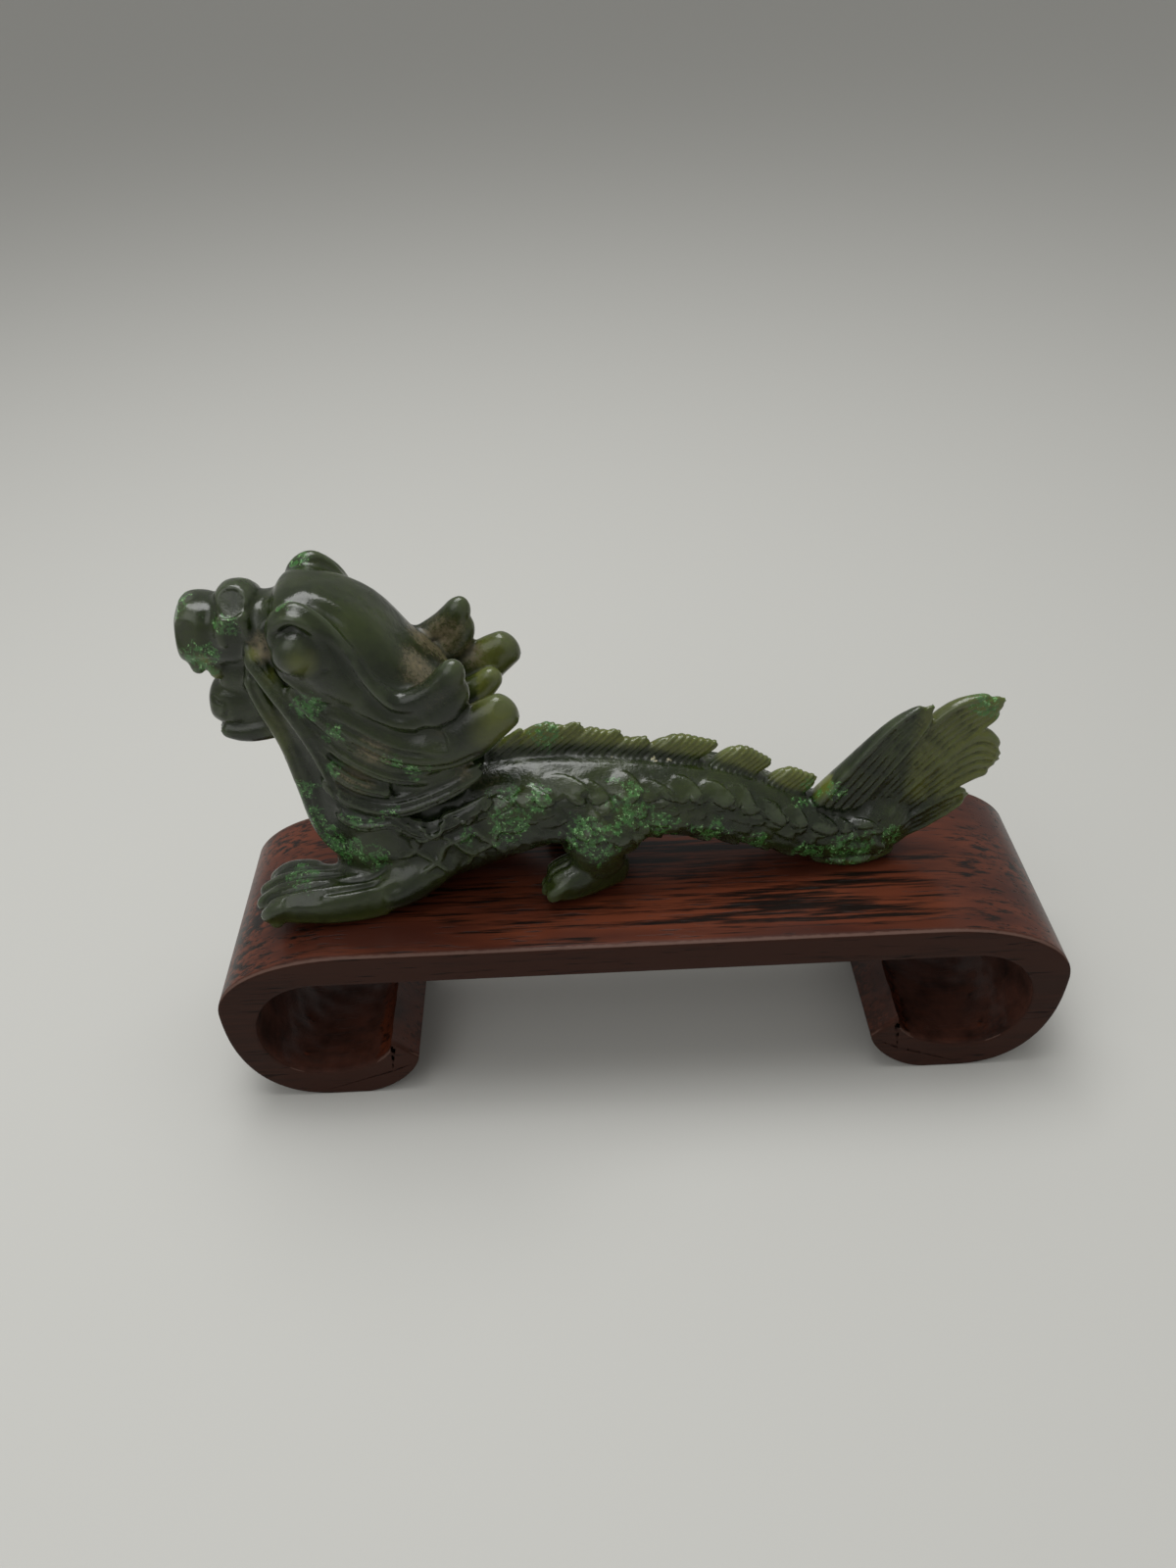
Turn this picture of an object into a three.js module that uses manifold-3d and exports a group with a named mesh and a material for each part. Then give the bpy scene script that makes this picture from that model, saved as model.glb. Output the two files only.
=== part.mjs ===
// Carved jade dragon lying along a wooden scroll stand.
// Millimetres, +Z up, origin at the bottom centre of the stand, +X from the head towards the tail.
import * as THREE from 'three';
import { mergeVertices } from 'three/addons/utils/BufferGeometryUtils.js';
import Module from 'manifold-3d';

const wasm = await Module();
wasm.setup();

// ---------------------------------------------------------------- driving dimensions

const STAND = { length: 150, depth: 40, height: 36, board: 6.5 };
const FOOT = { inner: 52, outer: 57.5 };
const LIP = { outerX: 41.5, outerZ: 9.2, innerX: 46, innerZ: 13.5 };
const REST_GAP = 0.3;
const DRAGON_Y = 2;

const ACROSS = new THREE.Vector3(0, 1, 0);
const UP = new THREE.Vector3(0, 0, 1);

// Stations read [x, y, z, half width, half depth]: x and z from the middle of the stand's top,
// y from the dragon's own middle plane, with the near side negative.
const TRUNK = [
  [-53.5, 0, 14, 6.5, 8.5], [-46, 0, 12.5, 10, 12], [-36, 0, 12.4, 10.2, 11.4],
  [-27, 0, 14.4, 9.8, 10.2], [-17, 0, 16.6, 9.2, 9.0], [-6, 0, 16.6, 8.8, 8.4],
  [6, 0, 15.6, 7.6, 7.4], [16, 0, 13.2, 6.9, 7.0], [26, 0, 8.8, 6.1, 6.1],
  [35, 0, 6.1, 5.5, 5.5], [43, 0, 7.2, 4.8, 6.4], [49, 0, 11.0, 2.6, 4.4],
];
const NECK = [
  [-44, 0, 9, 8.5, 10.6], [-45.2, 0, 18, 9.4, 12.2], [-45.6, 0, 28, 9.0, 12.2],
  [-48.8, 0, 38, 8.4, 11.4], [-50.5, 0, 48, 7.6, 9.0],
];
const SKULL = [
  [-55.4, 0, 51.5, 7.4, 5.6], [-51, 0, 52.0, 8.8, 7.0], [-45, 0, 49.8, 9.2, 7.4],
  [-39.5, 0, 44.6, 9.0, 6.6], [-34, 0, 39.4, 8.4, 6.0], [-28, 0, 38.6, 6.0, 4.4],
];
const SNOUT = [
  [-52, 0, 52.2, 6.2, 5.4], [-58, 0, 52.4, 5.2, 5.2], [-63, 0, 52.2, 5.0, 5.2],
  [-67.8, 0, 52.2, 4.8, 5.2], [-70.9, 0, 52.4, 3.4, 4.2],
];
const JAW = [
  [-56, 0, 40, 4.0, 5.2], [-62, 0, 38.0, 4.2, 5.2], [-66, 0, 37.8, 4.2, 5.2], [-69.3, 0, 37.8, 2.8, 4.2],
];
const MOUTH = [[-56, 0, 44.5, 4.0, 5.0], [-60.5, 0, 44.6, 3.4, 4.4], [-65.2, 0, 44.4, 2.6, 3.4]];

const EYE = { x: -50.6, y: 9.2, z: 53.0, length: 4.3, width: 2.0, height: 4.0 };
const BROW_SWELL = { x: -50.0, y: 6.8, z: 55.4, length: 5.0, width: 2.0, height: 4.6 };
const NOSTRIL = { x: -61.4, y: 0, z: 57.2, length: 3.4, width: 4.4, height: 3.4 };

const BROW = [
  [-55.0, -7.8, 53.6, 1.2, 1.2], [-53.4, -7.6, 58.0, 1.5, 1.6], [-50.0, -7.4, 59.4, 1.9, 1.8],
  [-46.2, -7.7, 57.2, 1.7, 1.7], [-43.0, -8.4, 52.0, 1.6, 1.7], [-40.2, -9.0, 46.6, 1.7, 1.7],
  [-36.6, -9.3, 42.4, 1.8, 1.9], [-32.6, -9.4, 43.4, 2.1, 2.4], [-29.4, -9.4, 46.6, 2.2, 2.5],
  [-27.6, -9.4, 50.6, 1.4, 1.7],
];
const MANE_LOCKS = [
  // the broad lock under the ear, with its end curled up
  [[-45, -7.6, 46, 2.4, 3.6], [-40, -8.6, 42.0, 2.6, 3.4], [-34.5, -9.2, 40.4, 2.6, 2.8],
    [-30.0, -9.5, 42.4, 2.6, 3.0], [-27.2, -9.4, 47.0, 1.8, 2.2]],
  [[-49, -7.6, 43, 2.2, 3.0], [-43, -8.6, 37.4, 2.6, 3.6], [-35.4, -9.2, 33.8, 2.8, 4.0],
    [-28.4, -9.5, 35.6, 2.8, 4.4], [-23.4, -9.4, 39.2, 2.6, 3.8], [-19.4, -9.2, 41.8, 2.0, 2.8]],
  // a short inner lock between the two sides
  [[-34, -4.6, 33, 2.4, 3.0], [-27, -4.8, 35.0, 2.4, 2.8], [-22.4, -4.8, 39.0, 1.5, 1.8]],
];
const MANE_STRANDS = [
  [[-59.8, -5.6, 51.0, 1.2, 1.5], [-56.4, -7.2, 45.6, 1.5, 1.7], [-52.8, -8.2, 38.8, 1.7, 1.8],
    [-50.6, -8.8, 32.4, 1.5, 1.6], [-49.4, -9.0, 25.0, 1.0, 1.1]],
  [[-60.6, -4.4, 46.5, 1.3, 1.5], [-59.2, -4.6, 40.4, 1.6, 1.8], [-56.6, -5.4, 34.0, 1.7, 1.9],
    [-55.2, -6.2, 26.0, 1.7, 1.8], [-54.0, -6.4, 16.5, 1.5, 1.6], [-51.0, -6.6, 9.5, 1.0, 1.1]],
  [[-53.6, -8.0, 46.5, 1.3, 1.5], [-49.2, -8.8, 40.4, 1.6, 1.8], [-42.6, -9.2, 33.8, 1.6, 1.7],
    [-35.6, -9.4, 30.6, 1.4, 1.5], [-31.2, -9.0, 31.0, 0.9, 1.0]],
  [[-51.6, -8.4, 39.5, 1.3, 1.5], [-46.6, -9.0, 33.6, 1.6, 1.7], [-40.4, -9.4, 29.4, 1.5, 1.6],
    [-33.6, -9.4, 27.6, 0.9, 1.0]],
  [[-51.6, -8.6, 28.4, 1.4, 1.5], [-46.4, -9.4, 23.8, 1.7, 1.7], [-39.8, -9.8, 22.4, 1.6, 1.6],
    [-31.6, -9.4, 25.0, 1.3, 1.3], [-25.4, -8.0, 28.0, 0.8, 0.9]],
  [[-50.4, -8.8, 21.2, 1.2, 1.2], [-46.0, -9.6, 19.4, 1.5, 1.5], [-41.0, -10.0, 19.8, 1.4, 1.4],
    [-36.6, -10.0, 17.0, 1.5, 1.5], [-30.4, -9.6, 18.8, 1.3, 1.3], [-24.4, -8.6, 22.2, 0.9, 0.9]],
];
const BEARD = { strands: 4, from: [-57.5, 34.5], to: [-68.6, 32.8], sag: 1.2, spread: 3.4, radius: 1.25 };
const LIP_TEETH = [[-68.6, 47.4, 1.5], [-66.0, 46.4, 1.1]];

const UPPER_ARM = [
  [-28.0, -5.4, 12.0, 3.4, 3.2], [-34.5, -7.4, 8.8, 4.0, 3.6], [-40.5, -9.2, 5.6, 4.2, 4.0],
  [-46.0, -10.0, 4.4, 4.0, 4.2],
];
const FOREARM = [
  [-42.4, -9.4, 3.6, 3.0, 3.6], [-47.0, -9.8, 3.8, 4.2, 4.2], [-53.0, -9.9, 3.8, 5.1, 4.2],
  [-58.5, -9.2, 3.6, 5.6, 3.8], [-65.4, -8.8, 2.6, 4.8, 2.8],
];
const FRONT_TOES = { count: 4, root: [-55, -8.6, 6.0], tip: [-67.3, -8.6, 1.6], spread: 9.0, radius: 1.7 };
// The far front leg stands this much further back than the near one.
const FAR_STRIDE = 12;
const THIGH = [
  [1.6, -4.0, 18.5, 3.4, 5.2], [-4.6, -6.6, 14.6, 4.0, 6.8], [-7.2, -7.8, 9.6, 3.6, 5.6],
  [-4.4, -7.4, 5.0, 2.9, 3.4],
];
const HIND_FOOT = [
  [-1.8, -4.8, 3.6, 2.4, 3.4], [-6.6, -6.6, 3.8, 3.2, 3.8], [-11.6, -8.0, 3.4, 3.6, 3.4],
  [-16.6, -9.3, 2.4, 2.8, 2.4],
];
const HIND_TOES = { count: 3, root: [-8.4, -7.0, 5.6], tip: [-17.3, -9.6, 1.5], spread: 4.6, radius: 1.5 };

// Each back fin: root from x0 to x1 on the ridge, crest height, and its swept tip [x, z].
const BACK_FINS = [
  { x0: -25.5, x1: -20.0, rootZ: 23.5, crestZ: 29.6, tip: [-19.4, 30.8], rays: 2 },
  { x0: -19.5, x1: -10.5, rootZ: 24.4, crestZ: 31.4, tip: [-9.6, 31.9], rays: 3 },
  { x0: -11.0, x1: -3.5, rootZ: 24.0, crestZ: 30.0, tip: [-2.7, 29.6], rays: 3 },
  { x0: -3.8, x1: 1.6, rootZ: 23.0, crestZ: 27.8, tip: [2.0, 28.0], rays: 2 },
  { x0: 1.6, x1: 12.6, rootZ: 21.6, crestZ: 27.6, tip: [13.8, 26.6], rays: 4 },
  { x0: 13.0, x1: 22.4, rootZ: 17.4, crestZ: 24.4, tip: [23.3, 21.4], rays: 3 },
  { x0: 22.6, x1: 30.6, rootZ: 12.6, crestZ: 19.4, tip: [31.0, 18.0], rays: 2 },
];
const FIN_RAY = { width: 1.15, tipWidth: 0.6 };

// Each tail lobe: its upper and lower edge as [x, z] from the root to the tip.
const TAIL_LOBES = [
  { upper: [[30, 12], [35.6, 19.5], [42.4, 28.2], [49.2, 33.6]],
    lower: [[37, 9.5], [42.4, 16.5], [47.0, 24.4], [50.8, 31.6]], rays: 4, y: -1.0 },
  { upper: [[38, 11], [44.6, 21.0], [52.2, 30.6], [61.4, 34.0]],
    lower: [[43, 8.5], [50.4, 17.8], [57, 24.4], [63.2, 30.2]], rays: 4, y: 0.2 },
  { upper: [[43, 9], [50.4, 18.0], [58, 25.6], [64.2, 21.6]],
    lower: [[45, 5.5], [51.6, 11.0], [57.8, 15.2], [62.6, 16.8]], rays: 4, y: 0.2 },
  { upper: [[43, 5.5], [49.6, 9.6], [55, 12.6], [59.4, 13.6]],
    lower: [[43, 3.0], [49.4, 4.9], [54.6, 8.0], [59.2, 11.6]], rays: 3, y: -0.4 },
];
const RAY_OVERLAP = 0.84;
const TAIL_RAY = { rootWidth: 2.9, tipWidth: 0.8 };
const TAIL_FLANGE = [[31, -2.8, 1.6, 1.6, 1.2], [39, -3.6, 1.2, 1.7, 1.2], [46.6, -1.2, 1.4, 1.4, 1.2]];

// Rows of scales on each flank: trunk stations from and to, and the angle down from the ridge.
const SCALE_ROWS = [
  { from: 2.3, to: 3.9, angle: 72, count: 3 }, { from: 2.1, to: 3.6, angle: 98, count: 3 },
  { from: 6.2, to: 8.6, angle: 72, count: 4 },
];
const SCALE = { length: 3.6, height: 2.9, thickness: 0.95, lift: 0.16 };

// ---------------------------------------------------------------- shape helpers

/** Bend a sphere's rings along a spine of stations, with round ends. */
function loft(stations, { sides = 10, rings = 10, cap = 0.12, across = ACROSS, square = 2 } = {}) {
  const centres = stations.map(([x, y, z]) => new THREE.Vector3(x, y, z));
  const radii = stations.map(([, , , width, depth]) => new THREE.Vector3(width, depth, 0));
  const spine = new THREE.CatmullRomCurve3(centres);
  const sizes = new THREE.CatmullRomCurve3(radii);
  const geometry = new THREE.SphereGeometry(1, sides, rings);
  const vertices = geometry.attributes.position;
  const unit = new THREE.Vector3();
  for (let i = 0; i < vertices.count; i += 1) {
    unit.fromBufferAttribute(vertices, i);
    const along = (1 - unit.y) / 2;
    const ring = Math.hypot(unit.x, unit.z);
    const round = roundEnd(Math.min(along, 1 - along) / cap);
    const size = sizes.getPoint(along);
    const tangent = spine.getTangent(along);
    const side = across.clone().addScaledVector(tangent, -across.dot(tangent)).normalize();
    const rise = tangent.clone().cross(side);
    const place = spine.getPoint(along);
    if (ring > 1e-6) {
      place.addScaledVector(side, squared(unit.x / ring, square) * size.x * round);
      place.addScaledVector(rise, squared(unit.z / ring, square) * size.y * round);
    }
    vertices.setXYZ(i, place.x, place.y, place.z);
  }
  return geometry;
}

/** A quarter circle from 0 to 1, then level. */
function roundEnd(fraction) {
  const reach = Math.min(Math.max(fraction, 0), 1);
  return Math.sqrt(1 - (1 - reach) ** 2);
}

/** A cosine or sine pushed out towards a square by its superellipse power. */
function squared(value, power) {
  return Math.sign(value) * Math.abs(value) ** (2 / power);
}

/** A stretched sphere about a centre. */
function bead([x, y, z], [length, width, height], sides = 10, rings = 7) {
  const geometry = new THREE.SphereGeometry(1, sides, rings);
  geometry.scale(length, width, height);
  geometry.translate(x, y, z);
  return geometry;
}

/** A stretched sphere on the near side, from its named sizes. */
function bump({ x, y, z, length, width, height }, sides, rings) {
  return bead([x, -y, z], [length, width, height], sides, rings);
}

/** The same shape on the other side of the dragon's middle plane. */
function mirrored(geometry) {
  const copy = geometry.clone();
  copy.scale(1, -1, 1);
  const index = copy.index.array;
  for (let i = 0; i < index.length; i += 3) {
    [index[i], index[i + 1]] = [index[i + 1], index[i]];
  }
  return copy;
}

/** A closed manifold solid from a geometry's merged corners. */
function solid(geometry) {
  const bare = geometry.clone();
  bare.deleteAttribute('normal');
  bare.deleteAttribute('uv');
  const merged = mergeVertices(bare, 1e-4);
  const vertProperties = new Float32Array(merged.attributes.position.array);
  const triVerts = new Uint32Array(merged.index.array);
  return new wasm.Manifold(new wasm.Mesh({ numProp: 3, vertProperties, triVerts }));
}

/** All the geometries joined into one solid. */
function joined(geometries) {
  return geometries.map(solid).reduce((whole, piece) => whole.add(piece));
}

/** A drawable geometry from a manifold solid: its outer skin, without pockets sealed inside. */
function toGeometry(manifold) {
  const mesh = manifold.getMesh();
  const skin = largestShell(mesh.triVerts, mesh.vertProperties.length / 3);
  const geometry = new THREE.BufferGeometry();
  geometry.setAttribute('position', new THREE.BufferAttribute(mesh.vertProperties, 3));
  geometry.setIndex(skin);
  geometry.computeVertexNormals();
  return geometry;
}

/** The triangles of the largest connected shell. */
function largestShell(triangles, vertexCount) {
  const parent = Array.from({ length: vertexCount }, (unused, i) => i);
  const find = (i) => {
    let top = i;
    while (parent[top] !== top) {
      parent[top] = parent[parent[top]];
      top = parent[top];
    }
    return top;
  };
  for (let i = 0; i < triangles.length; i += 3) {
    parent[find(triangles[i + 1])] = find(triangles[i]);
    parent[find(triangles[i + 2])] = find(triangles[i]);
  }
  const shells = new Map();
  for (let i = 0; i < triangles.length; i += 3) {
    const shell = find(triangles[i]);
    if (!shells.has(shell)) {
      shells.set(shell, []);
    }
    shells.get(shell).push(triangles[i], triangles[i + 1], triangles[i + 2]);
  }
  return [...shells.values()].reduce((most, shell) => (shell.length > most.length ? shell : most));
}

/** A value a fraction of the way between two numbers. */
const mix = THREE.MathUtils.lerp;

// ---------------------------------------------------------------- the dragon

/** A flat fan of side-by-side rays between two edges, fluted where the rays meet. */
function rayFan(upper, lower, rays, { y = 0, rootWidth, tipWidth }) {
  const last = upper.length - 1;
  const made = [];
  for (let ray = 0; ray < rays; ray += 1) {
    const share = rays === 1 ? 0.5 : ray / (rays - 1);
    const stations = upper.map(([x, z], i) => {
      const [lowX, lowZ] = lower[i];
      const spacing = Math.hypot(lowX - x, lowZ - z) / rays;
      const width = mix(rootWidth, tipWidth, i / last);
      const inset = mix(0.5 / rays, 1 - 0.5 / rays, share);
      return [mix(x, lowX, inset), y, mix(z, lowZ, inset), width, spacing * RAY_OVERLAP];
    });
    made.push(loft(stations, { sides: 4, rings: 4, cap: 0.16 }));
  }
  return made;
}

/** A fin on the back: rays from its root swept up and back to the crest and the tip. */
function backFin({ x0, x1, rootZ, crestZ, tip, rays }) {
  const width = x1 - x0;
  const upper = [[x0, rootZ], [x0 + width * 0.16, mix(rootZ, crestZ, 0.7)], [x0 + width * 0.42, crestZ]];
  const lower = [[x1 - width * 0.12, rootZ], [x1, mix(rootZ, tip[1], 0.6)], tip];
  return rayFan(upper, lower, rays, { rootWidth: FIN_RAY.width, tipWidth: FIN_RAY.tipWidth });
}

/** The four fluted lobes of the tail. */
function tailFan() {
  return TAIL_LOBES.flatMap(({ upper, lower, rays, y }) => rayFan(upper, lower, rays, { y, ...TAIL_RAY }));
}

/** Toes side by side, each ending in a claw bent down to the stand. */
function toes({ count, root, tip, spread, radius }) {
  const made = [];
  for (let toe = 0; toe < count; toe += 1) {
    const offset = mix(-0.5, 0.5, toe / (count - 1));
    const reach = 1 - 0.5 * offset * offset;
    const middle = [mix(root[0], tip[0], 0.6 * reach), mix(root[2], tip[2], 0.3)];
    const stations = [
      [root[0], root[1] + offset * spread * 0.7, root[2], radius * 0.8, radius],
      [middle[0], mix(root[1], tip[1], 0.6) + offset * spread, middle[1], radius, radius],
      [mix(root[0], tip[0], reach), tip[1] + offset * spread * 1.05, tip[2], radius * 0.62, radius * 0.9],
    ];
    made.push(loft(stations, { sides: 5, rings: 3, cap: 0.25 }));
  }
  return made;
}

/** The scales in one row on the near flank, each a thin shell lifted at its rear edge. */
function scaleRow({ from, to, angle, count }) {
  const spine = new THREE.CatmullRomCurve3(TRUNK.map(([x, y, z]) => new THREE.Vector3(x, y, z)));
  const sizes = new THREE.CatmullRomCurve3(TRUNK.map(([, , , w, h]) => new THREE.Vector3(w, h, 0)));
  const down = THREE.MathUtils.degToRad(angle);
  const made = [];
  for (let scale = 0; scale < count; scale += 1) {
    const along = mix(from, to, scale / (count - 1)) / (TRUNK.length - 1);
    const size = sizes.getPoint(along);
    const tangent = spine.getTangent(along);
    const rise = tangent.clone().cross(ACROSS);
    rise.multiplyScalar(Math.sign(rise.z));
    const place = spine.getPoint(along);
    place.addScaledVector(ACROSS, -Math.sin(down) * size.x);
    place.addScaledVector(rise, Math.cos(down) * size.y);
    const normal = ACROSS.clone().multiplyScalar(-Math.sin(down) / size.x);
    normal.addScaledVector(rise, Math.cos(down) / size.y).normalize();
    const lean = tangent.clone().addScaledVector(normal, SCALE.lift).normalize();
    const upright = normal.clone().cross(lean).normalize();
    const outward = lean.clone().cross(upright).normalize();
    const geometry = new THREE.SphereGeometry(1, 6, 3);
    geometry.scale(SCALE.length, SCALE.height, SCALE.thickness);
    geometry.applyMatrix4(new THREE.Matrix4().makeBasis(lean, upright, outward));
    geometry.translate(place.x, place.y, place.z);
    made.push(geometry);
  }
  return made;
}

/** The striated beard under the chin. */
function beard() {
  const { strands, from, to, sag, spread, radius } = BEARD;
  const made = [];
  for (let strand = 0; strand < strands; strand += 1) {
    const y = mix(-spread, spread, strand / (strands - 1));
    const lift = 0.8 * Math.abs(y) / spread;
    const middleX = mix(from[0], to[0], 0.55);
    const stations = [
      [from[0], y, from[1] + lift, radius, radius * 1.2],
      [middleX, y, from[1] + lift - sag, radius, radius],
      [to[0] + lift * 1.5, y * 0.8, to[1] + lift + 1, radius * 0.7, radius * 0.8],
    ];
    made.push(loft(stations, { sides: 4, rings: 4 }));
  }
  return made;
}

/** The near front leg: upper arm, forearm and toes. */
function frontLeg() {
  return [
    loft(UPPER_ARM, { sides: 8, rings: 5, across: UP }),
    loft(FOREARM, { sides: 8, rings: 6, square: 2.8 }),
    ...toes(FRONT_TOES),
  ];
}

/** Everything else that the dragon has once on each side, for the near side. */
function nearSide() {
  const teeth = LIP_TEETH.map(([x, z, size]) => bead([x, -3.2, z], [size, 1.3, size * 1.4], 5, 4));
  return [
    loft(BROW, { sides: 5, rings: 11, cap: 0.07 }),
    ...MANE_LOCKS.map((lock) => loft(lock, { sides: 7, rings: 6, cap: 0.16 })),
    ...MANE_STRANDS.map((strand) => loft(strand, { sides: 4, rings: 5, cap: 0.14 })),
    bump(EYE, 8, 5),
    bump(BROW_SWELL, 7, 5),
    ...teeth,
    loft(THIGH, { sides: 9, rings: 6 }),
    loft(HIND_FOOT, { sides: 8, rings: 5 }),
    ...toes(HIND_TOES),
    loft(TAIL_FLANGE, { sides: 5, rings: 5 }),
    ...SCALE_ROWS.flatMap(scaleRow),
  ];
}

/** The whole carving, cut flat where it lies on the stand. */
function dragonGeometry() {
  const near = nearSide();
  const leg = frontLeg();
  const farLeg = leg.map((piece) => mirrored(piece).translate(FAR_STRIDE, 0, 0));
  const middle = [
    loft(TRUNK, { sides: 12, rings: 14, cap: 0.05 }),
    loft(NECK, { sides: 9, rings: 6, cap: 0.2 }),
    loft(SKULL, { sides: 12, rings: 8, cap: 0.14, square: 3 }),
    loft(SNOUT, { sides: 9, rings: 7, cap: 0.1, square: 2.8 }),
    loft(JAW, { sides: 10, rings: 6, square: 2.4 }),
    loft(MOUTH, { sides: 6, rings: 5 }),
    bump(NOSTRIL, 8, 5),
    ...beard(),
    ...BACK_FINS.flatMap(backFin),
    ...tailFan(),
  ];
  const whole = joined([...middle, ...near, ...near.map(mirrored), ...leg, ...farLeg]);
  const below = new THREE.BoxGeometry(STAND.length, STAND.depth, STAND.height);
  below.translate(0, 0, -STAND.height / 2);
  return toGeometry(whole.subtract(solid(below)));
}

// ---------------------------------------------------------------- the stand

/** Points of a quarter superellipse from one angle to another, on the +X end. */
function quarter([centreX, centreZ], [reachX, reachZ], power, fromDegrees, toDegrees, steps) {
  const points = [];
  for (let step = 0; step <= steps; step += 1) {
    const angle = THREE.MathUtils.degToRad(mix(fromDegrees, toDegrees, step / steps));
    const x = centreX + reachX * squared(Math.cos(angle), power);
    const z = centreZ + reachZ * squared(Math.sin(angle), power);
    points.push(new THREE.Vector2(x, z));
  }
  return points;
}

/** The stand's side outline: a board rolled under at both ends, with an open lip. */
function standOutline() {
  const tip = STAND.length / 2;
  const under = STAND.height - STAND.board;
  const outside = [
    ...quarter([50.5, 22.5], [tip - 50.5, STAND.height - 22.5], 2.1, 90, 0, 9),
    ...quarter([FOOT.outer, 22.5], [tip - FOOT.outer, 22.5], 2.4, 0, -90, 9).slice(1),
    ...quarter([FOOT.inner, LIP.outerZ], [FOOT.inner - LIP.outerX, LIP.outerZ], 1.6, -90, -180, 5),
  ];
  const inside = [
    ...quarter([59.2, LIP.innerZ], [59.2 - LIP.innerX, 7.5], 2, 180, 270, 6),
    ...quarter([59.2, 17], [10, 11], 2, -90, 0, 6).slice(1),
    ...quarter([57, 17], [12.2, under - 17], 2.1, 0, 90, 7).slice(1),
  ];
  const right = [...outside, ...inside];
  const left = right.map((point) => new THREE.Vector2(-point.x, point.y)).reverse();
  return [...right, ...left];
}

/** The stand, cut from one board's width. */
function standGeometry() {
  const geometry = new THREE.ExtrudeGeometry(new THREE.Shape(standOutline()), {
    depth: STAND.depth,
    bevelEnabled: false,
  });
  geometry.rotateX(Math.PI / 2);
  geometry.translate(0, STAND.depth / 2, 0);
  return mergeVertices(geometry, 1e-4);
}

// ---------------------------------------------------------------- the object

const jade = new THREE.MeshStandardMaterial({ color: 0x2c3b22, roughness: 0.32, metalness: 0 });
const rosewood = new THREE.MeshStandardMaterial({ color: 0x4a1d12, roughness: 0.42, metalness: 0 });

const stand = new THREE.Mesh(standGeometry(), rosewood);
stand.name = 'scroll_stand';

const dragon = new THREE.Mesh(dragonGeometry(), jade);
dragon.name = 'jade_dragon';
dragon.position.set(0, DRAGON_Y, STAND.height + REST_GAP);

const object = new THREE.Group();
object.add(stand, dragon);

export default object;
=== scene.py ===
"""A carved jade dragon on its rosewood scroll stand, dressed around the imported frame."""

import logging
import math
from dataclasses import dataclass, field
from enum import Enum
from typing import ClassVar, Sequence

import bmesh
import bpy
import numpy as np
from mathutils import Matrix, Vector


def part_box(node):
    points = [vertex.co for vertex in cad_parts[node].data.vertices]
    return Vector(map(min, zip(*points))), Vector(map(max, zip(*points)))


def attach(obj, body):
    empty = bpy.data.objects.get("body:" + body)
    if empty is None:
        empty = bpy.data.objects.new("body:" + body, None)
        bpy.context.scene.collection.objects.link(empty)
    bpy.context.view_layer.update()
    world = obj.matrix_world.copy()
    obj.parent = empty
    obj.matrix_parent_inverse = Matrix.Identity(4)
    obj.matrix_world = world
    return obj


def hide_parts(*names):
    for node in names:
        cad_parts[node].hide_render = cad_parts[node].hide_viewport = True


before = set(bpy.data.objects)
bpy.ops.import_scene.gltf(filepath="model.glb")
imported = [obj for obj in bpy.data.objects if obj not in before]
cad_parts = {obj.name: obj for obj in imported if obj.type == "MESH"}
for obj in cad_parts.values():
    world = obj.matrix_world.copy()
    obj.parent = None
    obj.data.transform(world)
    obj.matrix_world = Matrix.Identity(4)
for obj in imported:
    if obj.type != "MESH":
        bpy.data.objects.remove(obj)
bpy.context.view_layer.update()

log = logging.getLogger("jade_dragon")

MM = 0.001
TINY = 1e-6
SCALE_SEED = 5
NICK_SEED = 7
BODY = "root"
EVERYWHERE = (-200, -199)

Station = tuple[float, float, float, float, float]
Place = tuple[float, float, float]
Spot = tuple[float, float, float, float]
Range = tuple[float, float]

STAND_LOW, STAND_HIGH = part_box("scroll_stand")
DRAGON_LOW, DRAGON_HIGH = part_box("jade_dragon")
TOP_Z = STAND_HIGH.z / MM
DRAGON_Y = (DRAGON_LOW.y + DRAGON_HIGH.y) / 2 / MM


class Finish(Enum):
    """The names of the two finishes."""

    JADE = "jade"
    ROSEWOOD = "rosewood"


class Side(Enum):
    """Which side of the dragon's middle plane a form is on."""

    NEAR = (1,)
    FAR = (-1,)
    BOTH = (1, -1)


# ---------------------------------------------------------------- curves


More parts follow.
